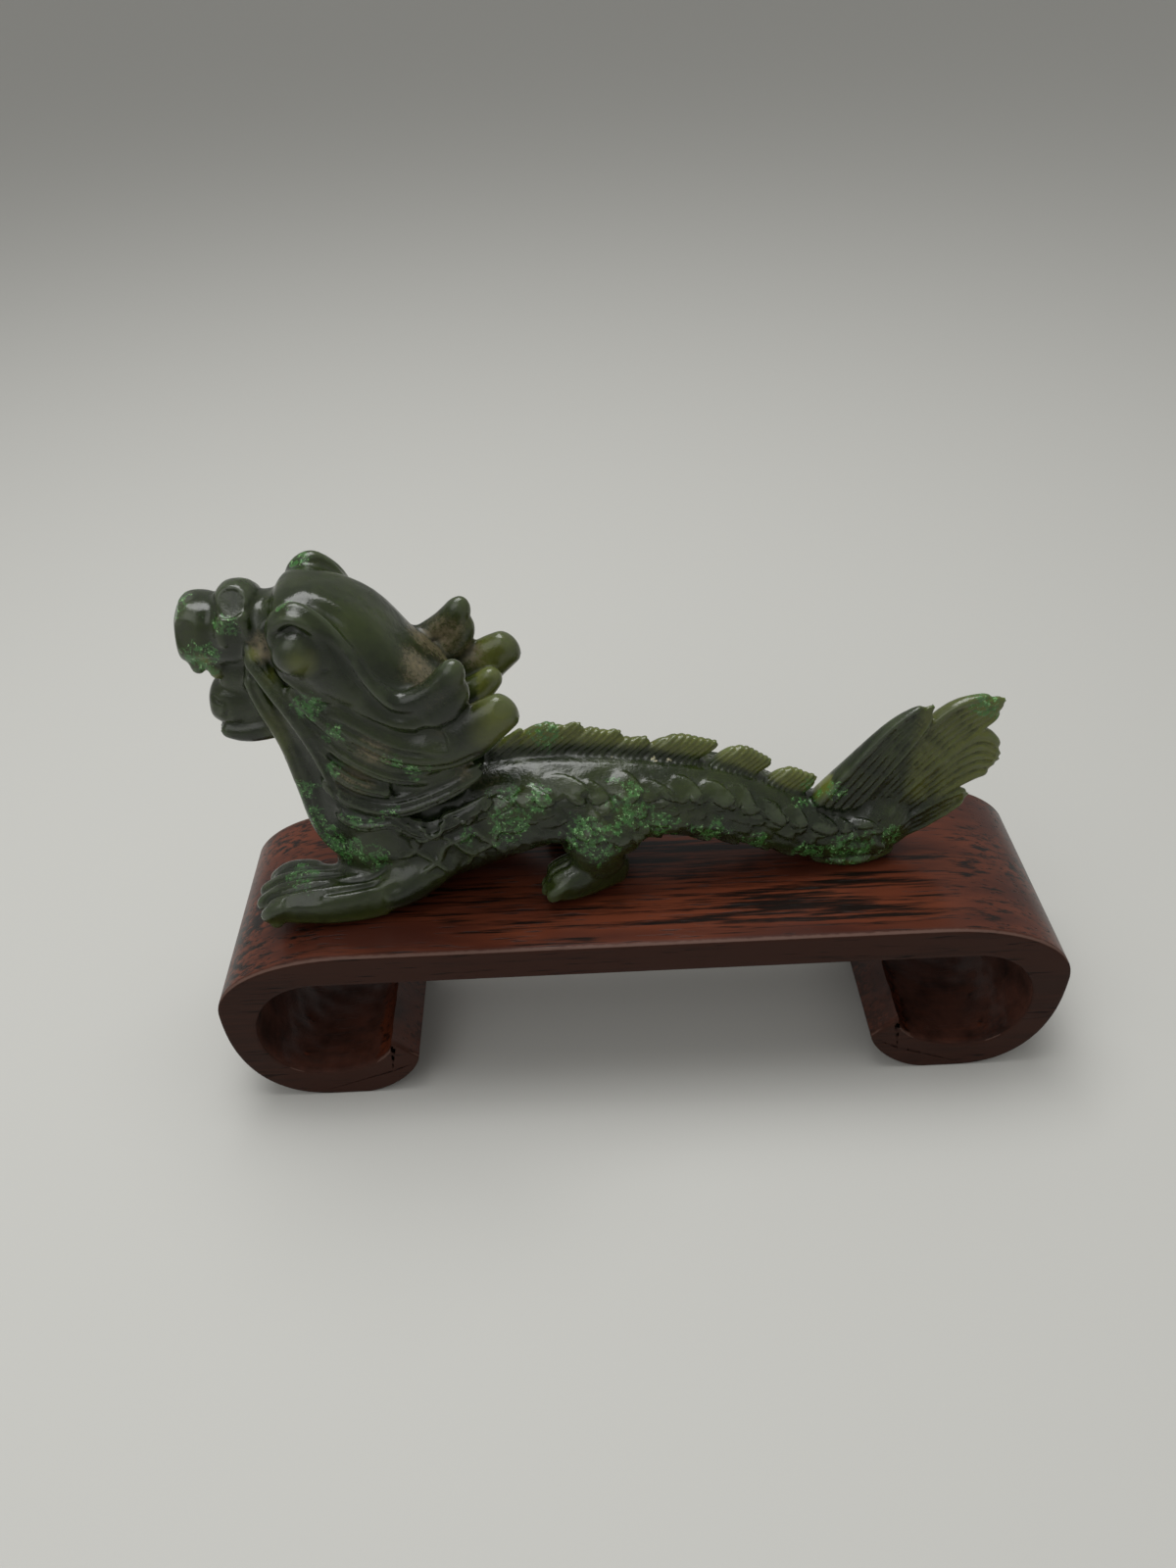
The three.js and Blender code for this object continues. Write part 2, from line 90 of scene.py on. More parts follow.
@dataclass(frozen=True)
class Spine:
    """A smooth run through stations of x, y, z, half width and half depth, in millimetres."""

    stations: Sequence[Station]

    def at(self, along: np.ndarray) -> np.ndarray:
        """The stations' Catmull-Rom curve.

        Args:
            along: Places from 0 at the first station to 1 at the last.

        Returns:
            One row of x, y, z, half width and half depth for each place.
        """
        points = np.array(self.stations, float)
        padded = np.vstack([2 * points[0] - points[1], points, 2 * points[-1] - points[-2]])
        place = np.clip(along, 0, 1) * (len(points) - 1)
        index = np.minimum(place.astype(int), len(points) - 2)
        part = (place - index)[:, None]
        before, start, end, after = (padded[index + step] for step in range(4))
        curve = 2 * start + (end - before) * part
        curve += (2 * before - 5 * start + 4 * end - after) * part**2
        curve += (3 * start - before - 3 * end + after) * part**3
        return curve / 2

    def tangents(self, along: np.ndarray) -> np.ndarray:
        """Unit directions along the curve at the given places."""
        step = 1e-3
        ahead = self.at(np.clip(along + step, 0, 1))[:, :3]
        behind = self.at(np.clip(along - step, 0, 1))[:, :3]
        return unit(ahead - behind)

    def samples(self, count: int) -> np.ndarray:
        """Evenly numbered points along the curve."""
        return self.at(np.linspace(0, 1, count))

    def moved(self, x: float) -> "Spine":
        """The same run moved along x."""
        return Spine([(a + x, b, c, w, d) for a, b, c, w, d in self.stations])

    def shifted(self, y: float, z: float, size: float) -> "Spine":
        """The same run moved by y and z and with its sizes scaled."""
        return Spine([(a, b + y, c + z, w * size, d * size) for a, b, c, w, d in self.stations])


def run(*stations: Station) -> Spine:
    """A run through stations of x, y, z, half width and half depth."""
    return Spine(stations)


def line(*points: Place) -> Spine:
    """A run of no width through points of x, y and z, for a cut to follow."""
    return Spine([(*point, 0, 0) for point in points])


def unit(vectors: np.ndarray) -> np.ndarray:
    """The vectors at length one."""
    return vectors / np.maximum(np.linalg.norm(vectors, axis=-1, keepdims=True), TINY)


def mix(low: float, high: float, share: float) -> float:
    """A value a fraction of the way from low to high."""
    return low + (high - low) * share


def ramp(values: np.ndarray, low: float, high: float) -> np.ndarray:
    """A smooth step from 0 at low to 1 at high, which may be the smaller of the two."""
    part = np.clip((values - low) / (high - low), 0, 1)
    return part * part * (3 - 2 * part)


# ---------------------------------------------------------------- shader expressions


class Signal:
    """A shader socket that arithmetic builds Math nodes from."""

    def __init__(self, paint: "Paint", socket: bpy.types.NodeSocket) -> None:
        """Wraps one output socket."""
        self.paint = paint
        self.socket = socket

    def _math(self, operation: str, *values: "Signal | float") -> "Signal":
        """A Math node over the values."""
        return self.paint.node("ShaderNodeMath", {"operation": operation}, dict(enumerate(values)))

    def __add__(self, other: "Signal | float") -> "Signal":
        """The sum."""
        return self._math("ADD", self, other)

    __radd__ = __add__

    def __sub__(self, other: "Signal | float") -> "Signal":
        """The difference."""
        return self._math("SUBTRACT", self, other)

    def __rsub__(self, other: float) -> "Signal":
        """A number less this."""
        return self._math("SUBTRACT", other, self)

    def __mul__(self, other: "Signal | float") -> "Signal":
        """The product."""
        return self._math("MULTIPLY", self, other)

    __rmul__ = __mul__

    def step(self, low: float, high: float) -> "Signal":
        """A smooth step from 0 at low to 1 at high."""
        settings = {"interpolation_type": "SMOOTHSTEP"}
        return self.paint.node("ShaderNodeMapRange", settings, {0: self, 1: low, 2: high, 3: 0.0, 4: 1.0})


class Paint:
    """A material whose nodes are written as expressions."""

    def __init__(self, name: str) -> None:
        """Starts a material with one Principled shader."""
        self.material = bpy.data.materials.new(name)
        self.material.use_nodes = True
        self.tree = self.material.node_tree
        self.shader = self.tree.nodes["Principled BSDF"]

    def node(self, kind: str, settings: dict, inputs: dict, output: int | str = 0) -> Signal:
        """Adds a node.

        Args:
            kind: The node's type.
            settings: Its own settings, which are set first.
            inputs: Values or signals by the input's name or number.
            output: The output wanted.

        Returns:
            That output.
        """
        made = self.tree.nodes.new(kind)
        for name, value in settings.items():
            setattr(made, name, value)
        for name, value in inputs.items():
            self.feed(made.inputs[name], value)
        return Signal(self, made.outputs[output])

    def feed(self, socket: bpy.types.NodeSocket, value: "Signal | float | tuple") -> None:
        """Links a signal to a socket, or sets a plain value on it."""
        if isinstance(value, Signal):
            self.tree.links.new(value.socket, socket)
        else:
            socket.default_value = value

    def finish(self, values: "dict[str, Signal | float | tuple]") -> bpy.types.Material:
        """Feeds the shader's named sockets and hands over the material."""
        for name, value in values.items():
            self.feed(self.shader.inputs[name], value)
        return self.material

    def attribute(self, name: str) -> Signal:
        """A number stored on the mesh's points."""
        return self.node("ShaderNodeAttribute", {"attribute_name": name}, {}, "Fac")

    def place(self, scale: Place = (1, 1, 1), turn: float = 0.0) -> Signal:
        """Object coordinates, stretched and turned about the upright axis."""
        coordinates = self.node("ShaderNodeTexCoord", {}, {}, "Object")
        inputs = {"Vector": coordinates, "Rotation": (0, 0, math.radians(turn)), "Scale": scale}
        return self.node("ShaderNodeMapping", {}, inputs)

    def noise(self, place: Signal, scale: float, detail: float = 3.0, rough: float = 0.55) -> Signal:
        """Cloudy noise from 0 to 1."""
        inputs = {"Vector": place, "Scale": scale, "Detail": detail, "Roughness": rough}
        return self.node("ShaderNodeTexNoise", {}, inputs, "Fac")

    def facets(self, place: Signal, scale: float) -> Signal:
        """Soft distance to scattered cell centres."""
        return self.node("ShaderNodeTexVoronoi", {"feature": "SMOOTH_F1"}, {"Vector": place, "Scale": scale})

    def blend(self, share: Signal | float, under: Signal | tuple, over: Signal | tuple) -> Signal:
        """One colour over another."""
        inputs = {0: share, 6: under, 7: over}
        return self.node("ShaderNodeMix", {"data_type": "RGBA"}, inputs, 2)

    def bump(self, height: Signal, distance: float, strength: float) -> Signal:
        """The normal of a height that counts in distances of so many metres."""
        inputs = {"Height": height, "Distance": distance, "Strength": strength}
        return self.node("ShaderNodeBump", {}, inputs)


def rgb(red: float, green: float, blue: float) -> tuple[float, float, float, float]:
    """An opaque colour."""
    return (red, green, blue, 1.0)


@dataclass(frozen=True)
class JadeFinish:
    """Dark green nephrite: polished, flecked with chrome green, painted olive where it is thin for the light
    that comes through, with painted shade in its creases and painted highlights on its ridges.
    """

    deep: tuple = rgb(0.008, 0.013, 0.004)
    mid: tuple = rgb(0.027, 0.039, 0.008)
    olive: tuple = rgb(0.122, 0.136, 0.025)
    fleck: tuple = rgb(0.048, 0.155, 0.036)
    pale_fleck: tuple = rgb(0.230, 0.450, 0.180)
    dust: tuple = rgb(0.170, 0.140, 0.080)
    chip: tuple = rgb(0.560, 0.530, 0.350)
    ridge_highlight: tuple = rgb(0.085, 0.105, 0.062)
    cloud_scale: float = 95
    patch_scale: float = 330
    crumb_scale: float = 1150
    crystal_scale: float = 1500
    dust_scale: float = 1300
    chip_scale: float = 900
    scratch_scale: float = 1800
    facet_scale: float = 420
    ripple_scale: float = 500
    polished: float = 0.18
    ior: float = 1.6
    specular: float = 0.38
    glow: float = 0.25
    glow_colours: Place = (0.8, 1.3, 0.4)
    glow_reach: float = 0.0015
    relief: float = 0.00022

    def material(self) -> bpy.types.Material:
        """Makes the stone.

        Returns:
            The material, which reads the carving's stored masks.
        """
        paint = Paint("nephrite")
        place = paint.place()
        hollow = paint.attribute("hollow")
        colour = self._stone(paint, place)
        colour = self._flecked(paint, place, colour)
        grains = paint.noise(place, self.dust_scale, 4, 0.7) * 1.6
        grime = (paint.attribute("dust") * grains).step(0.25, 1.0)
        colour = paint.blend(grime, colour, self.dust)
        # painted shade: the creases are darkened towards the deep green, less where the painted glow is
        sunk = hollow.step(0.15, 0.9) * (paint.attribute("painted_glow") * -0.3 + 0.62)
        colour = paint.blend(sunk, colour, self.deep)
        # painted highlight: the ridges are lightened towards a grey green
        colour = paint.blend((hollow * -1.0).step(0.35, 1.0) * 0.3, colour, self.ridge_highlight)
        ragged = (paint.noise(place, self.chip_scale) - 0.5) * 0.9
        chipped = (paint.attribute("chip") + ragged).step(0.55, 0.7)
        colour = paint.blend(chipped, colour, self.chip)
        rough = self.polished + hollow.step(0.0, 0.8) * 0.25 + grime * 0.3 + chipped * 0.4
        rough = rough + (paint.noise(place, self.facet_scale) - 0.5) * 0.16
        scratches = paint.noise(paint.place((1, 1, 3), 20), self.scratch_scale, 3, 0.7)
        ripples = paint.noise(place, self.ripple_scale)
        height = scratches * 0.3 + ripples + paint.facets(place, self.facet_scale) * 1.1
        return paint.finish(
            {
                "Base Color": colour,
                "Roughness": rough,
                "IOR": self.ior,
                "Specular IOR Level": self.specular,
                "Subsurface Weight": self.glow,
                "Subsurface Radius": self.glow_colours,
                "Subsurface Scale": self.glow_reach,
                "Normal": paint.bump(height, self.relief, 0.5),
            }
        )

    def _stone(self, paint: Paint, place: Signal) -> Signal:
        """The clouded green, with a painted olive glow where light would shine through the thin stone."""
        cloud = paint.noise(place, self.cloud_scale, 4)
        colour = paint.blend(cloud.step(0.35, 0.72), self.deep, self.mid)
        # painted glow: the thin fins, eye, throat and ends are painted olive for light shining through the
        # stone
        lit = (paint.attribute("painted_glow") + (cloud - 0.5) * 0.5).step(0.15, 1.05)
        return paint.blend(lit, colour, self.olive)

    def _flecked(self, paint: Paint, place: Signal, colour: Signal) -> Signal:
        """The colour with crumbs of chrome green and paler crystals in the flecked patches."""
        torn = (paint.noise(place, self.patch_scale, 5, 0.75) - 0.5) * 2.6
        patch = (paint.attribute("fleck") + torn).step(0.50, 0.68)
        crumbs = paint.noise(place, self.crumb_scale, 5, 0.75)
        colour = paint.blend(patch * crumbs.step(0.45, 0.55) * 0.85, colour, self.fleck)
        bright = paint.noise(paint.place((1, 1, 1), 30), self.crystal_scale, 4, 0.75)
        return paint.blend(patch * bright.step(0.58, 0.63), colour, self.pale_fleck)


@dataclass(frozen=True)
class RosewoodFinish:
    """Oiled rosewood: orange brown with black streaks along the board, with painted shade on its sides,
    undersides and inside its scrolls, and a painted highlight on its worn top rim.
    """

    orange: tuple = rgb(0.118, 0.029, 0.012)
    brown: tuple = rgb(0.044, 0.011, 0.006)
    streak: tuple = rgb(0.006, 0.003, 0.002)
    side: tuple = rgb(0.034, 0.011, 0.006)
    inner: tuple = rgb(0.078, 0.030, 0.020)
    worn_highlight: tuple = rgb(0.130, 0.075, 0.058)
    warp_scale: float = 28
    flame_scale: float = 900
    broad_scale: float = 95
    pore_scale: float = 1500
    inner_patch_scale: float = 160
    worn_highlight_scale: float = 700
    handled_scale: float = 240
    oiled: float = 0.6
    specular: float = 0.16
    coat: float = 0.22
    coat_rough: float = 0.22
    relief: float = 0.00010

    def material(self) -> bpy.types.Material:
        """Makes the wood.

        Returns:
            The material, which reads the stand's stored masks.
        """
        paint = Paint("rosewood")
        turned = paint.place((1, 1, 1), 4)
        top = paint.attribute("top")
        inner = paint.attribute("inner")
        flame = paint.noise(paint.place((0.055, 1, 1), 3), self.flame_scale, 5, 0.65)
        broad = paint.noise(paint.place((0.22, 1, 1), 5), self.broad_scale)
        warp = paint.noise(turned, self.warp_scale, 2)
        dark = (flame * 0.75 + broad * 0.6 + warp * 0.25).step(0.78, 0.92)
        colour = paint.blend(broad.step(0.35, 0.65), self.brown, self.orange)
        # painted shade: faces that turn away from above, and the rims, take the darker side colour
        colour = paint.blend(top, self.side, colour)
        colour = paint.blend(dark * (top * 0.7 + 0.3), colour, self.streak)
        pitted = paint.noise(paint.place((0.07, 1, 1), 2), self.pore_scale, 2, 0.6).step(0.60, 0.70)
        colour = paint.blend(pitted * 0.8, colour, self.streak)
        # painted shade: inside the scrolls the walls go mostly near black, with noise patches of the
        # reddish-brown rough wood
        inner_patches = paint.noise(turned, self.inner_patch_scale, 4).step(0.15, 0.70)
        colour = paint.blend(inner * 0.85, colour, paint.blend(inner_patches, self.streak, self.inner))
        uneven = (paint.noise(turned, self.worn_highlight_scale) - 0.5) * 0.7
        # the worn top rim: partly real wear, partly a painted highlight where the upward edge catches the
        # light
        edge = (paint.attribute("edge") + uneven).step(0.45, 0.95)
        colour = paint.blend(edge * 0.6, colour, self.worn_highlight)
        handled = (paint.noise(turned, self.handled_scale) - 0.5) * 0.12
        return paint.finish(
            {
                "Base Color": colour,
                "Roughness": self.oiled - top * 0.26 + inner * 0.1 + pitted * 0.15 + handled,
                "Specular IOR Level": self.specular,
                "Coat Weight": top * self.coat,
                "Coat Roughness": self.coat_rough,
                "Normal": paint.bump(pitted * -1.0 + flame * 0.25, self.relief, 0.4),
            }
        )


# ---------------------------------------------------------------- clay: joined swept forms


@dataclass
class Clay:
    """Rough closed forms that are pressed into one skin before they are carved."""

    mesh: bmesh.types.BMesh = field(default_factory=bmesh.new)
    bead_around: int = 20
    bead_rings: int = 14

    def sweep(
        self,
        spine: Spine,
        around: int = 20,
        rings: int = 24,
        cap: float = 0.12,
        square: float = 2.0,
        across: Place = (0, 1, 0),
        sides: Side = Side.BOTH,
    ) -> None:
        """Adds a sphere bent along a spine, with round ends.

        Args:
            spine: The stations it follows.
            around: Faces round the section.
            rings: Faces from end to end.
            cap: The share of the length that rounds off at each end.
            square: The section's superellipse power, 2 for an ellipse.
            across: The direction of the section's half width.
            sides: Which sides of the middle plane it is made on.
        """
        for side in sides.value:
            made = bmesh.ops.create_uvsphere(self.mesh, u_segments=around, v_segments=rings, radius=1)
            verts = made["verts"]
            ball = np.array([vert.co for vert in verts])
            along = (1 - ball[:, 2]) / 2
            ring = np.hypot(ball[:, 0], ball[:, 1])
            end = np.clip(np.minimum(along, 1 - along) / cap, 0, 1)
            rounding = np.sqrt(1 - (1 - end) ** 2)
            curve = spine.at(along)
            tangent = spine.tangents(along)
            width_way = np.array(across, float)
            width_way = unit(width_way - tangent * (tangent @ width_way)[:, None])
            depth_way = np.cross(width_way, tangent)
            share = ball[:, :2] / np.maximum(ring, TINY)[:, None]
            share = np.sign(share) * np.abs(share) ** (2 / square) * (ring > TINY)[:, None]
            place = curve[:, :3] + width_way * (share[:, 0] * curve[:, 3] * rounding)[:, None]
            place += depth_way * (share[:, 1] * curve[:, 4] * rounding)[:, None]
            place[:, 1] *= side
            for vert, spot in zip(verts, place):
                vert.co = spot
            if side < 0:
                bmesh.ops.reverse_faces(self.mesh, faces=list({f for v in verts for f in v.link_faces}))

    def bead(self, centre: Place, radii: Place, turn: float = 0.0, sides: Side = Side.BOTH) -> None:
        """Adds a stretched ball.

        Args:
            centre: Its middle, in millimetres.
            radii: Its half sizes along x, y and z before it is turned.
            turn: Degrees it is turned about the y axis.
            sides: Which sides of the middle plane it is made on.
        """
        around, rings = self.bead_around, self.bead_rings
        for side in sides.value:
            made = bmesh.ops.create_uvsphere(self.mesh, u_segments=around, v_segments=rings, radius=1)
            verts = made["verts"]
            spin = Matrix.Rotation(math.radians(turn), 3, "Y")
            bmesh.ops.scale(self.mesh, vec=radii, verts=verts)
            bmesh.ops.rotate(self.mesh, cent=(0, 0, 0), matrix=spin, verts=verts)
            bmesh.ops.translate(self.mesh, vec=(centre[0], centre[1] * side, centre[2]), verts=verts)

    def pressed(self, voxel: float) -> bpy.types.Mesh:
        """The forms as one closed skin.

        Args:
            voxel: The skin's face size, in millimetres.

        Returns:
            A mesh in millimetres.
        """
        rough = bpy.data.meshes.new("clay")
        self.mesh.to_mesh(rough)
        self.mesh.free()
        holder = bpy.data.objects.new("clay", rough)
        bpy.context.scene.collection.objects.link(holder)
        remesh = holder.modifiers.new("skin", "REMESH")
        remesh.mode = "VOXEL"
        remesh.voxel_size = voxel
        skin = evaluated_mesh(holder)
        bpy.data.objects.remove(holder)
        bpy.data.meshes.remove(rough)
        return skin


def thinned(mesh: bpy.types.Mesh, most: int) -> bpy.types.Mesh:
    """The mesh brought down to a number of triangles, with its fine relief kept."""
    holder = bpy.data.objects.new("thinned", mesh)
    bpy.context.scene.collection.objects.link(holder)
    fewer = holder.modifiers.new("fewer", "DECIMATE")
    fewer.ratio = min(1.0, most / (len(mesh.loops) - 2 * len(mesh.polygons)))
    lighter = evaluated_mesh(holder)
    bpy.data.objects.remove(holder)
    bpy.data.meshes.remove(mesh)
    return lighter


def evaluated_mesh(holder: bpy.types.Object) -> bpy.types.Mesh:
    """A new mesh with the object's modifiers applied."""
    graph = bpy.context.evaluated_depsgraph_get()
    graph.update()
    return bpy.data.meshes.new_from_object(holder.evaluated_get(graph))


# ---------------------------------------------------------------- carving


@dataclass
class Carving:
    """A skin whose points are moved as a carver's tools would cut it."""

    smoothing: ClassVar[float] = 0.5
    filling: ClassVar[float] = 0.8
    line_samples: ClassVar[int] = 90
    groove_reach: ClassVar[float] = 3.0
    leaf: ClassVar[float] = 0.4
    leaf_edge: ClassVar[float] = 0.1
    mesh: bpy.types.Mesh
    co: np.ndarray = field(init=False)
    edges: np.ndarray = field(init=False)
    degree: np.ndarray = field(init=False)
    near_side: np.ndarray = field(init=False)

    def __post_init__(self) -> None:
        """Reads the points and edges."""
        count = len(self.mesh.vertices)
        self.co = np.zeros(count * 3)
        self.mesh.vertices.foreach_get("co", self.co)
        self.co = self.co.reshape(-1, 3)
        self.edges = np.zeros(len(self.mesh.edges) * 2, np.int32)
        self.mesh.edges.foreach_get("vertices", self.edges)
        self.edges = self.edges.reshape(-1, 2)
        self.degree = np.bincount(self.edges.ravel(), minlength=count).astype(float)
        self.near_side = self.folded()

    def spread(self, values: np.ndarray) -> np.ndarray:
        """Each point's neighbours' mean value."""
        columns = values.reshape(len(values), -1).T
        total = np.stack([self._gathered(column) for column in columns], axis=1)
        return (total / self.degree[:, None]).reshape(values.shape)

    def _gathered(self, column: np.ndarray) -> np.ndarray:
        """The sum over each point's neighbours."""
        start, end = self.edges.T
        count = len(self.co)
        return np.bincount(start, column[end], count) + np.bincount(end, column[start], count)

    def polish(self, passes: int) -> None:
        """Smooths the skin."""
        for _ in range(passes):
            self.co += (self.spread(self.co) - self.co) * self.smoothing

    def fill(self, passes: int, where: np.ndarray) -> None:
        """Rounds out the creases where forms meet and leaves everything that stands out.

        Args:
            passes: How often it is done.
            where: Each point's share, from 0 to 1.
        """
        for _ in range(passes):
            normals = self.normals()
            rise = ((self.spread(self.co) - self.co) * normals).sum(1)
            self.co += normals * (np.maximum(rise, 0) * where * self.filling)[:, None]

    def normals(self) -> np.ndarray:
        """Unit normals at the points as they are now."""
        self.write()
        found = np.zeros(len(self.co) * 3)
        self.mesh.vertex_normals.foreach_get("vector", found)
        return found.reshape(-1, 3)

    def write(self) -> None:
        """Puts the points back in the mesh."""
        self.mesh.vertices.foreach_set("co", self.co.ravel())
        self.mesh.update()

    def cut(self, depth: np.ndarray) -> None:
        """Moves the points in along their normals by a depth, in millimetres."""
        self.co -= self.normals() * depth[:, None]

    def hollow(self) -> np.ndarray:
        """How sharply the skin is hollow at each point, per millimetre, and negative where it bulges."""
        start, end = self.edges.T
        squared = ((self.co[start] - self.co[end]) ** 2).sum(1)
        count = len(self.co)
        area = (np.bincount(start, squared, count) + np.bincount(end, squared, count)) / self.degree
        return ((self.spread(self.co) - self.co) * self.normals()).sum(1) / area

    def nearest(self, spine: Spine, reach: float, loose: Place) -> tuple[np.ndarray, np.ndarray]:
        """How far the points are from a spine that is mirrored to both sides.

        Args:
            spine: The near side's run.
            reach: The furthest distance that matters, in millimetres.
            loose: How much a distance along x, y and z counts.

        Returns:
            Each point's distance, at most reach, and its place along the run.
        """
        spots = spine.samples(self.line_samples)[:, :3] * loose
        folded = self.co * loose
        folded[:, 1] = -np.abs(folded[:, 1])
        distance = np.full(len(folded), reach)
        along = np.zeros(len(folded))
        inside = np.all((folded > spots.min(0) - reach) & (folded < spots.max(0) + reach), axis=1)
        chosen = np.nonzero(inside)[0]
        for step, spot in enumerate(spots):
            found = np.linalg.norm(folded[chosen] - spot, axis=1)
            closer = found < distance[chosen]
            distance[chosen[closer]] = found[closer]
            along[chosen[closer]] = step / (self.line_samples - 1)
        return distance, along

    def groove(self, spine: Spine, width: float, depth: float, loose: Place = (1, 1, 1)) -> None:
        """Cuts a rounded line that tapers at both ends along a spine, on both sides.

        Args:
            spine: The near side's run.
            width: The line's half width, in millimetres.
            depth: How deep it is, in millimetres.
            loose: How much a distance along x, y and z counts.
        """
        reach = width * self.groove_reach
        distance, along = self.nearest(spine, reach, loose)
        taper = np.clip(4 * np.minimum(along, 1 - along) + 0.25, 0, 1)
        self.cut(depth * taper * np.exp(-((distance / width) ** 2)) * (distance < reach))

    def folded(self) -> np.ndarray:
        """The points with the far side laid over the near one."""
        return self.co * (1, -1, 1) * np.where(self.co[:, 1:2] > 0, (1, 1, 1), (1, -1, 1))

    def facet(self, spot: Place, way: Place, radius: float) -> None:
        """Grinds a polished flat, on both sides.

        Args:
            spot: The flat's middle on the near side, in millimetres.
            way: The direction it faces.
            radius: How far it reaches.
        """
        normal = unit(np.array(way, float))
        away = self.folded() - spot
        above = away @ normal
        across = np.linalg.norm(away - above[:, None] * normal, axis=1)
        cut = np.clip(above, 0, radius / 2) * ramp(radius - across, 0, radius * 0.25)
        side = np.where(self.co[:, 1:2] > 0, (1, -1, 1), (1, 1, 1))
        self.co -= side * normal * cut[:, None]

    def scale(self, lift: np.ndarray, seat: tuple[np.ndarray, ...], size: np.ndarray) -> None:
        """Marks one scale, a leaf whose rear edge stands free.

        Args:
            lift: Each point's rise so far, in millimetres, raised in place.
            seat: The scale's middle, the direction of its rear edge and its normal.
            size: Its half length, half height and rise.
        """
        middle, rear, normal = seat
        length, height, rise = size
        upright = np.cross(normal, rear)
        away = self.near_side - middle
        chosen = np.nonzero((np.abs(away) < max(length, height) * 1.2).all(1))[0]
        away = away[chosen]
        along = away @ rear / length
        out = np.hypot(along, away @ upright / (height * (1 - self.leaf * np.clip(along, -1, 1))))
        shape = ramp(1 - out, 0, self.leaf_edge) * (0.1 + 0.9 * np.clip((along + 1) / 2, 0, 1))
        lift[chosen] = np.maximum(lift[chosen], rise * shape * (np.abs(away @ normal) < height))


# ---------------------------------------------------------------- the dragon's forms


